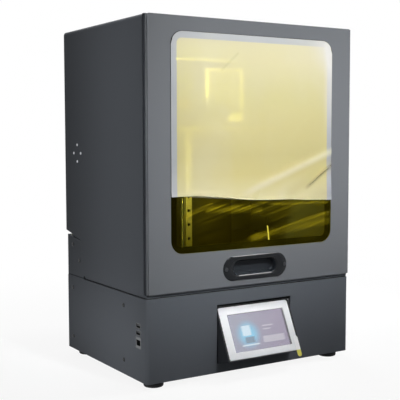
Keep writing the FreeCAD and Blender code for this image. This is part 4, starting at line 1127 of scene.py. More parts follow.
@dataclass
class Studio(Assembly):
    """Camera, lamps, white surround and floor."""

    camera_place: Triple = (-0.7746, -1.1977, 0.3709)
    yaw: float = -32.16
    pitch: float = 85.63
    roll: float = -0.11
    focal: float = 863.5
    image: float = 400.0
    sensor: float = 36.0
    ambient: float = 0.09
    floor_half: float = 20.0
    lamps: tuple[Lamp, ...] = (
        Lamp("front_box", place=(0.42, -1.45, 1.5), aim=(0.21, -0.12, 0.4), side=0.87, tall=0.39,
             power=1.55, spread=12.0),
        Lamp("left_fill", place=(-1.9, -0.4, 0.5), aim=(-0.19, -0.06, 0.24), side=0.25, tall=0.8,
             power=0.25, spread=14.0),
        Lamp("left_low", place=(-1.9, 0.0, 0.12), aim=(-0.19, 0.02, 0.07), side=0.3, tall=0.1,
             power=0.019, spread=6.0),
        Lamp("overhead", place=(1.9, -0.6, 3.2), aim=(0.0, -0.1, 0.27), side=0.7, power=50.0),
        Lamp("screen_box", place=(-0.05, -0.8, 1.7), aim=(-0.02, -0.14, 0.06), side=0.16, power=0.02,
             spread=9.0),
        Lamp("rear_fill", place=(0.5, 2.1, 1.2), aim=(0.0, 0.0, 0.27), side=1.4, power=30.0),
        Lamp("right_fill", place=(2.1, -0.2, 0.9), aim=(0.0, 0.0, 0.27), side=1.4, power=14.0),
        Lamp("hood_glow", place=(-0.02, -0.1, 0.512), aim=(0.0, 0.12, 0.45), side=0.14, tall=0.03,
             power=2.2, spread=150.0, body="hood"),
        Lamp("vat_glow", place=(-0.05, -0.09, 0.325), aim=(-0.04, 0.12, 0.325), side=0.1, tall=0.02,
             power=0.34, spread=80.0, body="hood"))

    def build(self) -> None:
        """Sets up everything that isn't the object."""
        bpy.context.scene.view_settings.view_transform = "Standard"
        self.add_camera()
        for lamp in self.lamps:
            lamp.add()
        self.add_world()
        self.add_floor()

    def add_camera(self) -> None:
        """The photograph's view."""
        data = bpy.data.cameras.new("camera")
        data.sensor_width = self.sensor
        data.lens = self.sensor * self.focal / self.image
        camera = bpy.data.objects.new("camera", data)
        bpy.context.scene.collection.objects.link(camera)
        look = Euler((math.radians(self.pitch), 0, math.radians(self.yaw))).to_matrix().to_4x4()
        tilt = Matrix.Rotation(math.radians(self.roll), 4, "Z")
        camera.matrix_world = Matrix.Translation(Vector(self.camera_place)) @ look @ tilt
        bpy.context.scene.camera = camera

    @staticmethod
    def seen(graph: Graph) -> Value:
        """1 for rays that show the surround: straight, mirrored or through glass."""
        path = graph.node("ShaderNodeLightPath", out="Is Camera Ray")
        return path.at_least(path.beside("Is Glossy Ray")).at_least(path.beside("Is Transmission Ray"))

    def add_world(self) -> None:
        """White where it is seen, dimmer where it only lights."""
        world = bpy.data.worlds.new("surround")
        world.use_nodes = True
        bpy.context.scene.world = world
        graph = Graph(world.node_tree)
        strength = self.ambient + self.seen(graph) * (1 - self.ambient)
        light = graph.node("ShaderNodeBackground", sockets={"Color": (1.0, 1.0, 1.0), "Strength": strength})
        graph.node("ShaderNodeOutputWorld", sockets={"Surface": light})

    def add_floor(self) -> None:
        """A pale floor that keeps the shadow near the object and fades into the surround."""
        edge = self.floor_half
        mesh = bpy.data.meshes.new("floor")
        corners = [(-edge, -edge, 0), (edge, -edge, 0), (edge, edge, 0), (-edge, edge, 0)]
        mesh.from_pydata(corners, [], [(0, 1, 2, 3)])
        floor = bpy.data.objects.new("floor", mesh)
        bpy.context.scene.collection.objects.link(floor)
        mesh.materials.append(FloorFinish("pale_floor").material())


@dataclass(frozen=True)
class FloorFinish(Finish):
    """White floor that shows a soft shadow."""

    lit_share: float = 0.11
    fade: tuple[float, float] = (0.35, 1.1)
    white: Colour = (0.9, 0.9, 0.9)
    bounced: Colour = (0.045, 0.045, 0.045)

    def shade(self, graph: Graph) -> Value:
        """Mostly even white where it is seen, plain matt where it only bounces light.

        Args:
            graph: The material's nodes.

        Returns:
            The floor's shader.
        """
        across, along, _ = graph.axes(graph.place())
        far = ((across ** 2.0 + along ** 2.0) ** 0.5).between(*self.fade)
        even = graph.node("ShaderNodeEmission", sockets={"Color": (1.0, 1.0, 1.0), "Strength": 1.0})
        matt = graph.node("ShaderNodeBsdfDiffuse", sockets={"Color": self.white})
        bounce = graph.node("ShaderNodeBsdfDiffuse", sockets={"Color": self.bounced})
        shown = graph.mix(1 - self.lit_share * (1 - far), matt, even)
        return graph.mix(Studio.seen(graph), bounce, shown)


@dataclass
class Enclosure(Assembly):
    """Sheet-metal base and hood, the lips that close the gap between them, and dark strips that paint the
    seams' shade.
    """

    sheet: float = 1.5 * MM
    seam: float = 3.9 * MM
    seam_gap: float = 0.8 * MM
    hem: float = 2.0 * MM
    hem_inset: float = 2.4 * MM
    hem_gap: float = 0.4 * MM
    neck_inset: float = 2.4 * MM
    neck_rise: float = 5.4 * MM
    gasket_rise: float = 1.2 * MM
    seam_shade_half: float = 1.1 * MM
    seam_shade_end: float = 1 * MM
    seam_shade_gap: float = 0.2 * MM
    seam_shade_depth: float = 0.3 * MM
    lip_sheet: float = 1.2 * MM
    lip_rear: float = 14 * MM
    lip_rise: float = 14 * MM
    lip_front: float = 54 * MM
    lip_end: float = 1.3 * MM
    lip_gap: float = 0.1 * MM

    def build(self) -> None:
        """Dresses the sheets and adds the lips and the dark strips of painted seam shade."""
        dress(GRAPHITE, "base_wrap", "bottom_plate", "base_back_panel", "hinge_beam", "hood_wrap",
              "hood_back_panel", "hood_rim", "neck_frame")
        dress(LIT_FRONT_PAINT, "hood_front_panel")
        dress(BLACK_PAINT, "deck_plate")
        dress(RUBBER, "hood_seal")
        self.add_lips()
        self.add_neck()
        self.add_hems()
        self.add_upstand_shade()

    def add_hems(self) -> None:
        """Front edges of the hood's sides, each over a dark strip of painted seam shade beside the front
        panel.
        """
        wrap, tray = Box.of("hood_wrap"), Box.of("hood_front_panel")
        seams, hems = Shape(), Shape()
        tall = tray.size.z / 2 - self.hem_gap
        seam_half = ((wrap.high.x - tray.high.x) / 2 - self.seam_gap, tall)
        hem_half = (self.hem / 2, tall)
        for side in (-1, 1):
            spot = Vector((side * (wrap.high.x + tray.high.x) / 2, wrap.low.y, tray.centre.z))
            seams.slab(seam_half, self.seam, Facing.FRONT.at(spot), radius=0.3 * MM, bevel=0.1 * MM)
            across = wrap.high.x - self.hem_inset - self.hem / 2
            spot = Vector((side * across, wrap.low.y - self.seam, tray.centre.z))
            hems.slab(hem_half, self.sheet, Facing.FRONT.at(spot), radius=0.4 * MM, bevel=0.3 * MM)
        add_piece("panel_seams", seams, SEAM_SHADE, "hood")
        add_piece("side_hems", hems, LIT_FRONT_PAINT, "hood")

    def add_neck(self) -> None:
        """Lip on a gasket along the deck's edge under the hood, in front and at both sides; the gasket's dark
        rubber also paints the groove's shade.
        """
        foot = Box.of("base_wrap").high.z
        lip = self.edging(foot + self.gasket_rise, foot + self.neck_rise, self.neck_inset)
        add_piece("neck_lip", lip, GRAPHITE, "base")
        # dark rubber gasket: it carries the lip and also paints the shade of the groove below it
        gasket = self.edging(foot, foot + self.gasket_rise, self.neck_inset + self.sheet / 2)
        add_piece("neck_gasket", gasket, RUBBER, "base")

    def edging(self, low: float, high: float, inset: float) -> Shape:
        """Strip that stands round the base's front and sides.

        Args:
            low: Height of its foot.
            high: Height of its top.
            inset: How far it stands in from the base's faces.

        Returns:
            The front strip with the two side strips.
        """
        base, rear = Box.of("base_wrap"), Box.of("hinge_beam").low.y
        half, level = (high - low) / 2, (high + low) / 2
        wide, front = base.high.x - inset, base.low.y + inset
        spot = Vector((0, front + self.sheet, level))
        strip = Shape().slab((wide, half), self.sheet, Facing.FRONT.at(spot), radius=0.3 * MM)
        for facing, side in ((Facing.LEFT, -1), (Facing.RIGHT, 1)):
            spot = Vector((side * (wide - self.sheet), (front + rear) / 2, level))
            strip.slab(((rear - front) / 2, half), self.sheet, facing.at(spot), radius=0.3 * MM)
        return strip

    def add_upstand_shade(self) -> None:
        """Dark strips along the foot of the fixed upstand, painted shade for the seam there."""
        beam = Box.of("hinge_beam")
        below = Shape()
        half = (beam.size.y / 2 - self.seam_shade_end, self.seam_shade_half)
        for facing, side in ((Facing.LEFT, beam.low.x), (Facing.RIGHT, beam.high.x)):
            spot = Vector((side, beam.centre.y, beam.low.z + half[1] + self.seam_shade_gap))
            below.slab(half, self.seam_shade_depth, facing.at(spot), radius=0.3 * MM, bevel=0.1 * MM)
        add_piece("upstand_seams", below, SEAM_SHADE, "base")

    def add_lips(self) -> None:
        """Lips inside the fixed upstand that close the gap below the hood, save at its left rear corner."""
        beam = Box.of("hinge_beam")
        lips = Shape()
        front, rear, level = beam.high.y - self.lip_front, beam.high.y - self.sheet, beam.high.z
        for facing, inner, end in ((Facing.RIGHT, beam.low.x + self.sheet, rear - self.lip_rear),
                                   (Facing.LEFT, beam.high.x - self.sheet, rear - self.lip_end)):
            spot = Vector((inner, (front + end) / 2, level))
            lips.slab(((end - front) / 2, self.lip_rise), self.lip_sheet, facing.at(spot), radius=1 * MM)
        left, right = beam.low.x + self.sheet + self.lip_rear, beam.high.x - self.sheet - self.lip_gap
        spot = Vector(((left + right) / 2, rear, level))
        lips.slab(((right - left) / 2, self.lip_rise), self.lip_sheet, Facing.FRONT.at(spot),
                  radius=0.1 * MM, bevel=0.05 * MM)
        add_piece("hinge_lips", lips, GRAPHITE, "base")


@dataclass
class Window(Assembly):
    """Amber pane in its black border, and the creased film on the pane."""

    border: float = 10 * MM
    border_corner: float = 8 * MM
    film_corner: float = 19.6 * MM
    film_margin: float = 0.4 * MM
    film_gap: float = 0.15 * MM
    film_thickness: float = 0.12 * MM
    edge_left: float = 83.6 * MM
    edge_step: float = 11.2 * MM
    edge_fall: float = 5 * MM
    edge_wave: float = 0.5 * MM
    long_wave: float = 26 * MM
    short_wave: float = 9.5 * MM
    step_reach: tuple[float, float] = (-115 * MM, 30 * MM)
    fall_reach: tuple[float, float] = (20 * MM, 190 * MM)
    curl: float = 0.5 * MM
    curl_reach: float = 5 * MM
    bulge: float = 1.6 * MM
    loose_across: tuple[float, float] = (70 * MM, 150 * MM)
    loose_up: tuple[float, float] = (70 * MM, 125 * MM)
    ripple: float = 0.12 * MM
    crease_rise: float = 0.8 * MM
    crease_reach: float = 6 * MM
    fold_rise: float = 1.1 * MM
    fold_reach: float = 3 * MM
    # The crease's painted highlight and the first fold's painted shade lie over raised ridges of the film;
    # the hollow and the second fold are painted shade alone.
    crease: Mark = Mark((-34 * MM, 79 * MM), (150 * MM, 146 * MM), 9 * MM, 0.7)
    hollow: Mark = Mark((50 * MM, 74 * MM), (150 * MM, 122 * MM), 17 * MM, 0.25)
    folds: tuple[Mark, ...] = (
        Mark((94 * MM, 86 * MM), (150 * MM, 124 * MM), 5 * MM, 0.6),
        Mark((-66 * MM, 266 * MM), (-34 * MM, 294 * MM), 3.5 * MM, 0.14))
    # Bands of painted reflection on the pane.
    bands: tuple[Mark, ...] = (
        Mark((-136 * MM, 52 * MM), (-80 * MM, 71 * MM), 6 * MM),
        Mark((-104 * MM, 65 * MM), (8 * MM, 60 * MM), 13 * MM),
        Mark((-10 * MM, 69 * MM), (138 * MM, 65 * MM), 5 * MM),
        Mark((-26 * MM, 12 * MM), (142 * MM, 34 * MM), 11 * MM),
        Mark((-8 * MM, 15 * MM), (142 * MM, 45 * MM), 7 * MM))
    columns: int = 96
    rows: int = 72

    def build(self) -> None:
        """Dresses the pane and its border, and lays the film."""
        pane = Box.of("window_pane")
        dress(TintedPane("amber_acrylic", low=pane.low.z, bands=self.bands), "window_pane")
        dress(BORDER_PRINT, "window_frame")
        finish = HazyFilm(
            "window_film_haze", half=pane.size.x / 2, low=pane.low.z, tall=pane.size.z, border=self.border,
            corner=self.border_corner, crease=self.crease, hollow=self.hollow, folds=self.folds)
        add_piece("film_sheet", self.film(pane), finish, "hood", ["window_film"])

    def edge(self, across: float) -> float:
        """Height of the film's torn lower edge above the pane's own.

        Args:
            across: Place along the edge, from the pane's middle.

        Returns:
            The height in metres.
        """
        fall = (self.edge_step * smooth(*self.step_reach, across)
                + self.edge_fall * smooth(*self.fall_reach, across))
        wave = math.sin(across / self.long_wave) * 0.7 + math.sin(across / self.short_wave + 1.0) * 0.3
        return self.edge_left - fall + self.edge_wave * wave

    @staticmethod
    def ridge(spot: Spot, mark: Mark, width: float) -> float:
        """Height from 0 to 1 of a crease along a mark.

        Args:
            spot: Place across and up the film.
            mark: Where the crease runs.
            width: How far to each side it reaches.

        Returns:
            1 on the crease, less away from it and towards its first end.
        """
        start, end = Vector(mark.start), Vector(mark.end)
        run = (end - start).normalized()
        away = Vector(spot) - start
        off = away.x * run.y - away.y * run.x
        share = away.dot(run) / (end - start).length
        return math.exp(-(off / width) ** 2) * smooth(0.0, 0.5, share) * (1 - smooth(1.0, 1.15, share))

    def stand_off(self, across: float, rise: float) -> float:
        """How far the film stands off the pane.

        Args:
            across: Place across the pane, from its middle.
            rise: Height above the pane's lower edge.

        Returns:
            The distance in metres.
        """
        spot = (across, rise)
        curl = math.exp(-((rise - self.edge(across)) / self.curl_reach) ** 2)
        loose = smooth(*self.loose_across, across) * (1 - smooth(*self.loose_up, rise))
        slant = math.sin(across / (31 * MM) + rise / (47 * MM))
        ripple = 0.5 + 0.5 * slant * math.sin(rise / (23 * MM) - 0.7)
        return (self.film_gap + self.ripple * ripple + self.curl * curl + self.bulge * loose
                + self.crease_rise * self.ridge(spot, self.crease, self.crease_reach)
                + self.fold_rise * self.ridge(spot, self.folds[0], self.fold_reach))

    def film(self, pane: Box) -> Shape:
        """The film on a pane's box, as a thin closed sheet.

        Args:
            pane: The pane's box.

        Returns:
            The sheet.
        """
        half, radius = pane.size.x / 2 - self.film_margin, self.film_corner
        rows = []
        for row in range(self.rows + 1):
            front = []
            for column in range(self.columns + 1):
                across = half * (2 * column / self.columns - 1)
                past = max(abs(across) - (half - radius), 0.0)
                top = pane.size.z - self.film_margin - radius + math.sqrt(max(radius ** 2 - past ** 2, 0.0))
                low = self.edge(across)
                rise = low + (top - low) * row / self.rows
                front.append(Vector((across, pane.low.y - self.stand_off(across, rise), pane.low.z + rise)))
            back = [point + Vector((0, self.film_thickness, 0)) for point in reversed(front)]
            rows.append(front + back)
        return Shape().loft(rows)


@dataclass
class PullHandle(Assembly):
    """Flush pull: an oval flange with a hollow to grip."""

    cup: tuple[float, float] = (40.5 * MM, 11 * MM)
    cup_depth: float = 13 * MM
    flange: float = 1.5 * MM
    wall: float = 1.5 * MM
    lip: float = 2.4 * MM
    slant: float = 47.0
    ease: float = 0.12 * MM
    fillet: float = 3.5 * MM
    flat: float = 0.01 * MM
    steps: int = 7
    end_steps: int = 20

    def build(self) -> None:
        """Lofts the flange round the hollow, and the hollow itself."""
        box = Box.of("pull_handle")
        place = Facing.FRONT.at(Vector((box.centre.x, box.low.y + self.flange, box.centre.z)))
        turns = [math.pi / 2 * step / (self.steps - 1) for step in range(self.steps)]
        wide, tall = box.size.x / 2, box.size.z / 2
        lip = [(self.cup, out, self.flange - down) for out, down in reversed(self.chamfer(self.lip))]
        rim = [((wide, tall), -out, self.flange - down) for out, down in self.chamfer(self.flange)]
        flange = Shape().loft([self.oval(*loop) for loop in lip + rim], place, closed=True)
        add_piece("pull_shell", flange, PULL_PLASTIC, "hood", ["pull_handle"])
        floor = self.flange - self.cup_depth
        inside = [(self.cup, -self.fillet * (1 - math.sin(turn)), floor + self.fillet * (1 - math.cos(turn)))
                  for turn in turns]
        wall = [(self.cup, 0.0, self.flange - self.lip), (self.cup, self.wall, self.flange - self.lip),
                (self.cup, self.wall, floor - self.wall)]
        hollow = Shape().loft([self.oval(*loop) for loop in inside + wall], place)
        # the hollow in the matt copy of the pull's plastic: painted shade
        add_piece("pull_cup", hollow, CUP_SHADE_PLASTIC, "hood")

    def chamfer(self, deep: float) -> list[tuple[float, float]]:
        """Slanting edge with eased corners.

        Args:
            deep: How far down the edge goes.

        Returns:
            Distances from the wall and down from the face, from the face to the wall.
        """
        wide = deep / math.tan(math.radians(self.slant))
        share = self.ease / deep
        return [(wide + self.ease, 0.0), (wide * (1 - share), deep * share),
                (wide * share, deep * (1 - share)), (0.0, deep)]

    def oval(self, half: tuple[float, float], out: float, height: float) -> Loop:
        """Loop with round ends, moved outwards from its half width and half height."""
        wide, tall = half[0] + out, half[1] + out
        return rounded((wide, tall), tall - self.flat, height, self.end_steps)


@dataclass
class TouchScreen(Assembly):
    """Tilted screen under its glass, with the tab of its film."""

    glass_thickness: float = 3 * MM
    glass_corner: float = 4 * MM
    glass_bevel: float = 0.9 * MM
    tab_width: float = 8 * MM
    tab_sheet: float = 0.25 * MM
    tab_sink: float = 0.3 * MM
    gasket: float = 78 * MM
    gasket_sheet: float = 1 * MM
    gasket_depth: float = 3 * MM
    gasket_gap: float = 0.15 * MM
    top_gasket: float = 86 * MM
    top_rise: float = 16 * MM
    top_overlap: float = 0.6 * MM
    top_depth: float = 2.5 * MM

    def build(self) -> None:
        """Dresses the housing and display, and makes the glass, the tab and the slot's gasket."""
        toward = Vector((0, -1, 0.4)).normalized()
        glass = broad_faces("touch_glass", toward)[0]
        view = broad_faces("display_panel", toward)[0]
        tab = broad_faces("screen_film_tab", toward)[0]
        dress(CONSOLE_PLASTIC, "console_housing")
        dress(LitDisplay("lit_display", view), "display_panel")
        sunk = glass.matrix() @ Matrix.Translation((0, 0, -self.glass_thickness))
        pane = Shape().slab((glass.width / 2, glass.height / 2), self.glass_thickness, sunk,
                            self.glass_corner, self.glass_bevel)
        cover = CoverGlass("cover_glass", view)
        add_piece("glass_plate", pane, cover, "base", ["touch_glass"])
        sunk = tab.matrix() @ Matrix.Translation((0, 0, -self.tab_sink))
        strip = Shape().slab((self.tab_width / 2, tab.height / 2), self.tab_sheet, sunk,
                             radius=self.tab_width / 2 - 0.2 * MM, bevel=0.06 * MM)
        add_piece("tab_strip", strip, PullTab("tab_film", tab), "base", ["screen_film_tab"])
        self.add_gasket()

    def add_gasket(self) -> None:
        """Black strips that close the slot above and beside the screen."""
        glass, housing = Box.of("touch_glass"), Box.of("console_housing")
        gasket = Shape()
        top_low, top_high = glass.high.z - self.top_overlap, glass.high.z + self.top_rise
        spot = Vector((0, glass.high.y + self.top_depth, (top_low + top_high) / 2))
        half = (self.top_gasket, (top_high - top_low) / 2)
        gasket.slab(half, self.gasket_sheet, Facing.FRONT.at(spot), radius=0.5 * MM)
        inside = Box.of("base_wrap").low.y + self.gasket_depth
        edge = housing.size.x / 2 + self.gasket_gap
        half = ((self.gasket - edge) / 2, (top_high - glass.low.z) / 2)
        for side in (-1, 1):
            spot = Vector((side * (self.gasket + edge) / 2, inside, (glass.low.z + top_high) / 2))
            gasket.slab(half, self.gasket_sheet, Facing.FRONT.at(spot), radius=0.5 * MM)
        add_piece("screen_gasket", gasket, RUBBER, "base")


class Recess(Enum):
    """Driver recess in a screw head, by its number of arms or sides."""

    CROSS = 4
    HEX = 6

    def reach(self, angle: float, size: float, arm: float = 0.26) -> float:
        """How far the recess goes from its middle at an angle.

        Args:
            angle: Angle round the screw.
            size: How far it goes along an arm, or to a corner.
            arm: Half the width of a cross's arm, as a share of the size.

        Returns:
            The distance from the middle.
        """
        step = math.tau / self.value
        off = abs((angle + step / 2) % step - step / 2)
        if self is Recess.HEX:
            return size * math.cos(step / 2) / math.cos(off)
        return min(size / math.cos(off), arm * size / max(math.sin(off), 0.01))


@dataclass(frozen=True)
class ScrewSet:
    """Screws of one node, with the head that they share."""

    node: str
    piece: str
    body: str
    finish: Finish
    slot: str
    height: float
    recess: Recess = Recess.CROSS
    facing: Optional[Facing] = None

    def looks(self, box: Box) -> Facing:
        """Which way a head looks: as set, or outwards from the nearer side."""
        return self.facing or (Facing.LEFT if box.centre.x < 0 else Facing.RIGHT)


@dataclass
class Fasteners(Assembly):
    """Screws of the sheets, the pull, the rails and the platform."""

    points: int = 48
    shank: float = 0.5
    head: tuple[Spot, ...] = ((1.0, 0.0), (1.0, 0.4), (0.94, 0.72), (0.8, 0.92), (0.66, 1.0))
    hollow: tuple[Spot, ...] = ((0.58, 1.0), (0.5, 0.35), (0.3, 0.3))
    sets: tuple[ScrewSet, ...] = (
        ScrewSet("base_screws", "base_screw_heads", "base", DARK_STEEL, "dark_steel", 1.2 * MM),
        ScrewSet("hood_side_screws", "diamond_screw_heads", "hood", ZINC, "bright_steel", 0.8 * MM),
        ScrewSet("handle_screws", "pull_screw_heads", "hood", PULL_SCREW, "bright_steel", 0.8 * MM,
                 facing=Facing.FRONT),
        ScrewSet("levelling_screws", "levelling_screw_heads", "carriage", DARK_STEEL, "dark_steel", 3.5 * MM,
                 Recess.HEX, Facing.UP))

    def build(self) -> None:
        """Gives each screw of the sets a head with its recess, and dresses the rail screws."""
        for screws in self.sets:
            whole = Shape()
            for box in solids(screws.node):
                self.screw(whole, box, screws.looks(box), screws.height, screws.recess)
            add_piece(screws.piece, whole, screws.finish, screws.body, [screws.node])
        dress(DARK_STEEL, "rail_screws")

    def screw(self, whole: Shape, box: Box, facing: Facing, height: float, recess: Recess) -> None:
        """Adds one screw in the place of a solid, from shares of its radius and its head's height.

        Args:
            whole: The shape that it is added to.
            box: The solid's box.
            facing: Which way its head looks.
            height: Height of its head.
            recess: Its driver recess.
        """
        out = Vector(facing.value)
        axis = Vector(map(abs, out))
        radius = max(box.size - axis * box.size.dot(axis)) / 2
        length = box.size.dot(axis)
        seat = box.centre + out * (length / 2 - height)
        profile = [(self.shank, height - length), (self.shank, 0.0)]
        profile += [(share, level * height) for share, level in self.head]
        loops = [circle(radius * share, level, self.points) for share, level in profile]
        for share, level in self.hollow:
            size = radius * share
            loops.append(polar(lambda angle: recess.reach(angle, size), level * height, self.points))
        whole.loft(loops, facing.at(seat))


@dataclass
class Feet(Assembly):
    """Round rubber feet, their profile as a share of the radius and a height in millimetres."""

    profile: tuple[Spot, ...] = (
        (0.42, 0.9), (0.42, 0.0), (0.86, 0.0), (0.93, 0.4), (0.98, 1.3), (1.0, 2.6), (1.0, 8.6),
        (0.975, 9.5), (0.93, 9.98), (0.3, 9.98))

    def build(self) -> None:
        """Turns each foot in the place of its solid."""
        whole = Shape()
        for box in solids("feet"):
            radius = box.size.x / 2
            place = Matrix.Translation((box.centre.x, box.centre.y, box.low.z))
            whole.lathe([(radius * share, level * MM) for share, level in self.profile], place)
        add_piece("foot_pads", whole, RUBBER, "base", ["feet"])


@dataclass
class SidePorts(Assembly):
    """USB and network sockets on the left side."""

    tongue: tuple[float, float] = (10.9 * MM, 1.84 * MM)
    tongue_in: float = 0.86 * MM
    tongue_drop: float = 0.02 * MM
    contact: tuple[float, float] = (1.1 * MM, 6.5 * MM)
    contact_in: float = 0.6 * MM
    contact_drop: float = 0.08 * MM
    contact_pitch: float = 2.3 * MM
    pin_half: tuple[float, float] = (4 * MM, 0.22 * MM)
    pin_in: float = 5 * MM
    pin_lift: float = 3.9 * MM
    pin_pitch: float = 1.02 * MM
    mouth_depth: float = 11 * MM

    def build(self) -> None:
        """Dresses the shells and adds the tongues and contacts."""
        dress(PORT_SHELL, "usb_ports", "ethernet_port")
        tongues, contacts = Shape(), Shape()
        rise = self.tongue[1] / 2
        half = (self.contact[1] / 2, self.contact[0] / 2)
        for box in solids("usb_ports"):
            front = Vector((box.low.x + self.tongue_in, box.centre.y, box.centre.z + rise - self.tongue_drop))
            rear = Facing.LEFT.at(front + Vector((self.mouth_depth, 0, 0)))
            tongues.slab((self.tongue[0] / 2, rise), self.mouth_depth, rear, radius=0.3 * MM)
            for step in range(4):
                along = (step - 1.5) * self.contact_pitch
                spot = front + Vector((half[0] + self.contact_in, along, -rise - self.contact_drop))
                contacts.slab(half, 0.1 * MM, Matrix.Translation(spot), radius=0.2 * MM, bevel=0.03 * MM)
        port = Box.of("ethernet_port")
        for step in range(8):
            along = port.centre.y + (step - 3.5) * self.pin_pitch
            spot = Vector((port.low.x + self.pin_in, along, port.centre.z + self.pin_lift))
            contacts.slab(self.pin_half, 0.2 * MM, Matrix.Translation(spot), radius=0.1 * MM, bevel=0.04 * MM)
        add_piece("usb_tongues", tongues, BLACK_PLASTIC, "base")
        add_piece("port_contacts", contacts, GOLD_CONTACT, "base")


@dataclass
class RearFittings(Assembly):
    """Fan with its wire guard, mains inlet, switch and hinges."""

    wire: float = 1.8 * MM
    guard_bore: float = 57 * MM
    guard_step: float = 7 * MM
    blade: Triple = (1.05 * MM, 2.05 * MM, 13.6 * MM)
    blade_pitch: float = 7 * MM
    blade_root: float = 16 * MM
    earth_lift: float = 2 * MM
    leaf: float = 36 * MM
    leaf_screws: tuple[float, ...] = (-20 * MM, 0.0, 20 * MM)
    leaf_stagger: float = 8 * MM
    head: tuple[Spot, ...] = (
        (3.2 * MM, 0.0), (3.2 * MM, 0.35 * MM), (2.9 * MM, 0.8 * MM), (2.0 * MM, 0.95 * MM))
    recess: tuple[Spot, ...] = ((1.8 * MM, 0.95 * MM), (1.5 * MM, 0.25 * MM))
    bar_mark: Triple = (0.4 * MM, 2.2 * MM, 0.12 * MM)
    ring_radius: float = 1.9 * MM
    ring_lift: float = 0.06 * MM
    ring_wire: float = 0.7 * MM
    ring_flat: float = 0.3
    points: int = 40

    def build(self) -> None:
        """Makes the guard and the small fastenings, and dresses the rest."""
        dress(BLACK_PLASTIC, "power_inlet", "switch_frame", "fan_frame", "fan_rotor", "power_rocker")
        dress(DARK_STEEL, "hinge_leaves_fixed", "hinge_leaves_hood")
        dress(ZINC, "hinge_pins")
        self.add_guard()
        self.add_inlet_blades()
        self.add_rocker_marks()
        self.add_leaf_screws("hinge_leaves_fixed", "base", -1)
        self.add_leaf_screws("hinge_leaves_hood", "hood", 1)

    def add_guard(self) -> None:
        """Wire rings on a cross of two bars."""
        box = Box.of("fan_guard")
        place = Facing.REAR.at(box.centre)
        thickness = min(self.wire, box.size.y)
        reach = self.guard_bore / 2 + self.wire / 2
        guard = Shape()
        for ring in range(int(self.guard_bore / 2 // self.guard_step)):
            guard.wire(circle(reach - ring * self.guard_step, 0, 64), thickness, place, closed=True)
        for turn in (0.0, math.pi / 2):
            run = Vector((math.cos(turn), math.sin(turn), 0)) * reach
            guard.wire([run * share for share in (-1.0, -0.5, 0.0, 0.5, 1.0)], thickness, place)
        add_piece("guard_wires", guard, GUARD_WIRE, "base", ["fan_guard"])

    def add_inlet_blades(self) -> None:
        """Metal blades in the mains inlet, over the moulded ones."""
        box = Box.of("power_inlet")
        blades = Shape()
        wide, tall, length = self.blade
        for step, lift in ((-1, 0.0), (0, self.earth_lift), (1, 0.0)):
            across = box.centre.x + step * self.blade_pitch
            spot = Vector((across, box.high.y - self.blade_root, box.centre.z + lift))
            blades.slab((wide, tall), length, Facing.REAR.at(spot), radius=0.4 * MM, bevel=0.5 * MM)
        add_piece("inlet_blades", blades, NICKEL, "base")

    def add_rocker_marks(self) -> None:
        """A bar and a ring on the rocker's two faces."""
        marks = Shape()
        faces = sorted(broad_faces("power_rocker", Vector((0, 1, 0)), 2), key=lambda face: -face.middle[2])
        bar, ring = (face.matrix() for face in faces)
        wide, tall, thick = self.bar_mark
        marks.slab((wide, tall), thick, bar, radius=0.2 * MM, bevel=0.03 * MM)
        outline = circle(self.ring_radius, self.ring_lift, self.points)
        flat = Matrix.Scale(self.ring_flat, 4, (0, 0, 1))
        marks.wire(outline, self.ring_wire, ring @ flat, closed=True)
        add_piece("rocker_marks", marks, MARK_PRINT, "power_rocker")

    def add_leaf_screws(self, node: str, body: str, side: int) -> None:
        """Three screws on each hinge leaf.

        Args:
            node: The leaves' node.
            body: The body that they ride on.
            side: 1 where the leaf stands above its pin, -1 below.
        """
        whole = Shape()
        face = broad_faces(node, Vector((0, 1, 0)))[0].middle[1]
        loops = [circle(radius, height, self.points) for radius, height in self.head]
        for size, height in self.recess:
            loops.append(polar(lambda angle: Recess.CROSS.reach(angle, size), height, self.points))
        for box in solids(node):
            level = box.high.z - self.leaf / 2 if side > 0 else box.low.z + self.leaf / 2
            for place in self.leaf_screws:
                drop = self.leaf_stagger if place else -self.leaf_stagger
                spot = Vector((box.centre.x + place, face, level + drop * side))
                whole.loft(loops, Facing.REAR.at(spot))
        add_piece(f"{node}_screws", whole, ZINC, body)


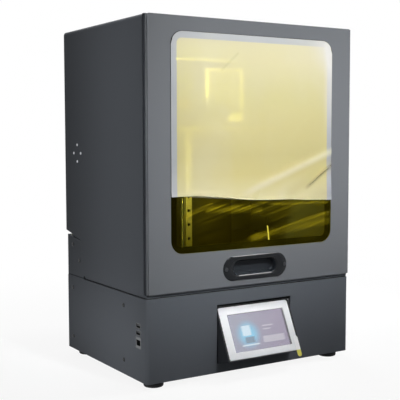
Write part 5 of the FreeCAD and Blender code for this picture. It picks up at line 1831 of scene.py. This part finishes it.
@dataclass
class Lift(Assembly):
    """Tower, rails, lead screw, carriage and build platform."""

    lead: float = 8 * MM
    starts: int = 4
    thread_depth: float = 0.7 * MM
    journal: float = 2.5 * MM
    steps: int = 6
    points: int = 20
    platform_plate: float = 8 * MM
    plate: tuple[float, float, float, float] = (66 * MM, 150 * MM, 393 * MM, 489 * MM)
    plate_sheet: float = 1.2 * MM
    inlay_margin: Spot = (8 * MM, 11 * MM)
    inlay_lift: float = 7 * MM
    inlay_sheet: float = 0.3 * MM
    strip_margin: float = 9 * MM
    strip_half: float = 7 * MM
    strip_lift: float = 20 * MM
    strip_sheet: float = 0.2 * MM
    # Pale strip of painted highlight along the tower's top edge.
    top_highlight_margin: float = 1 * MM
    top_highlight_half: float = 1.5 * MM
    top_highlight_drop: float = 1.6 * MM
    top_highlight_sheet: float = 0.3 * MM

    def build(self) -> None:
        """Cuts the thread and dresses the rest."""
        dress(BLACK_ANODISED, "z_tower", "top_bearing_block", "carriage_plate", "platform_arm")
        dress(BRIGHT_STEEL, "top_bearing", "carriage_blocks")
        dress(RAIL_STEEL, "guide_rails")
        plate_top = Box.of("build_platform").low.z + self.platform_plate
        dress(PlatformMetal("platform_metal", plate_top), "build_platform")
        dress(ALUMINIUM, "shaft_coupler")
        dress(BRASS, "lead_nut")
        dress(MOTOR_CASE, "z_motor")
        dress(BLACK_PLASTIC, "platform_knob")
        self.add_lead_screw()
        self.add_tower_plate()

    def add_tower_plate(self) -> None:
        """Pale plate bolted to the tower, and a pale strip of painted highlight along the tower's top edge.
        """
        tower = Box.of("z_tower")
        left, right, low, high = self.plate
        half = ((right - left) / 2, (high - low) / 2)
        face = Facing.FRONT.at(Vector(((left + right) / 2, tower.low.y, (low + high) / 2)))
        plate = Shape().slab(half, self.plate_sheet, face, radius=3 * MM)
        add_piece("tower_plate", plate, PLATE_PAINT, "base")
        raised = face @ Matrix.Translation((0, self.inlay_lift, self.plate_sheet))
        inlay_half = (half[0] - self.inlay_margin[0], half[1] - self.inlay_margin[1])
        inlay = Shape().slab(inlay_half, self.inlay_sheet, raised, radius=1.5 * MM, bevel=0.1 * MM)
        add_piece("tower_plate_inlay", inlay, PLATE_INLAY, "base")
        lower = raised @ Matrix.Translation((0, self.strip_lift - half[1], self.inlay_sheet))
        strip_half = (half[0] - self.strip_margin, self.strip_half)
        strip = Shape().slab(strip_half, self.strip_sheet, lower, radius=1.5 * MM, bevel=0.06 * MM)
        add_piece("tower_plate_strip", strip, PLATE_STRIP, "base")
        # pale strip along the tower's top: a painted highlight
        edge = Facing.FRONT.at(Vector((0, tower.low.y, tower.high.z - self.top_highlight_drop)))
        top_highlight_half = (tower.size.x / 2 - self.top_highlight_margin, self.top_highlight_half)
        top_highlight = Shape().slab(top_highlight_half, self.top_highlight_sheet, edge, radius=0.4 * MM, bevel=0.1 * MM)
        add_piece("tower_top_highlight", top_highlight, PLATE_PAINT, "base")

    def add_lead_screw(self) -> None:
        """Threaded length between two plain journals."""
        box = Box.of("lead_screw")
        radius, centre = box.size.x / 2, box.centre
        points = [vert.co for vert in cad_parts["lead_screw"].data.vertices]
        levels = [point.z for point in points
                  if math.hypot(point.x - centre.x, point.y - centre.y) > 0.9 * radius]
        low, high = min(levels), max(levels)
        pitch = self.lead / self.starts
        loops = [circle(self.journal, level, self.points) for level in (box.low.z, low)]
        count = int((high - low) / pitch * self.steps)
        for step in range(count + 1):
            level = low + (high - low) * step / count
            loops.append(polar(lambda angle: radius - self.thread_depth * self.groove(level, angle), level,
                               self.points))
        if box.high.z - high > 0.1 * MM:
            loops += [circle(self.journal, level, self.points) for level in (high, box.high.z)]
        place = Matrix.Translation((centre.x, centre.y, 0))
        add_piece("lead_screw_thread", Shape().loft(loops, place), SCREW_STEEL, "lead_screw",
                  ["lead_screw"])

    def groove(self, level: float, angle: float) -> float:
        """Depth share of the thread at a height and an angle."""
        phase = (level / self.lead - angle / math.tau) * self.starts % 1.0
        return smooth(0.12, 0.3, phase) * (1 - smooth(0.7, 0.88, phase))


@dataclass
class VatAndLight(Assembly):
    """Resin vat, mask screen and the lamp below it."""

    def build(self) -> None:
        """Dresses the group's nodes."""
        dress(ALUMINIUM, "uv_heat_sink", "uv_reflector")
        dress(VAT_METAL, "vat_frame")
        dress(VAT_FILM, "vat_film")
        dress(LCD_MASK, "lcd_panel")
        dress(BLACK_PLASTIC, "vat_knob_left", "vat_knob_right")
        dress(CircuitBoard("circuit_board"), "uv_led_board")


@dataclass
class Electrics(Assembly):
    """Boards and power supply inside the base."""

    def build(self) -> None:
        """Dresses the group's nodes."""
        dress(CircuitBoard("circuit_board"), "io_board", "control_board")
        dress(ALUMINIUM, "power_supply")


def main() -> None:
    """Builds the studio and the printer's groups in order."""
    logging.basicConfig(level=logging.INFO, format="%(name)s: %(message)s")
    groups: tuple[Assembly, ...] = (
        Studio(), Enclosure(), Window(), PullHandle(), TouchScreen(), Fasteners(), Feet(), SidePorts(),
        RearFittings(), Lift(), VatAndLight(), Electrics())
    for group in groups:
        group.build()
        LOG.info("%s done", type(group).__name__)


if __name__ == "__main__":
    main()
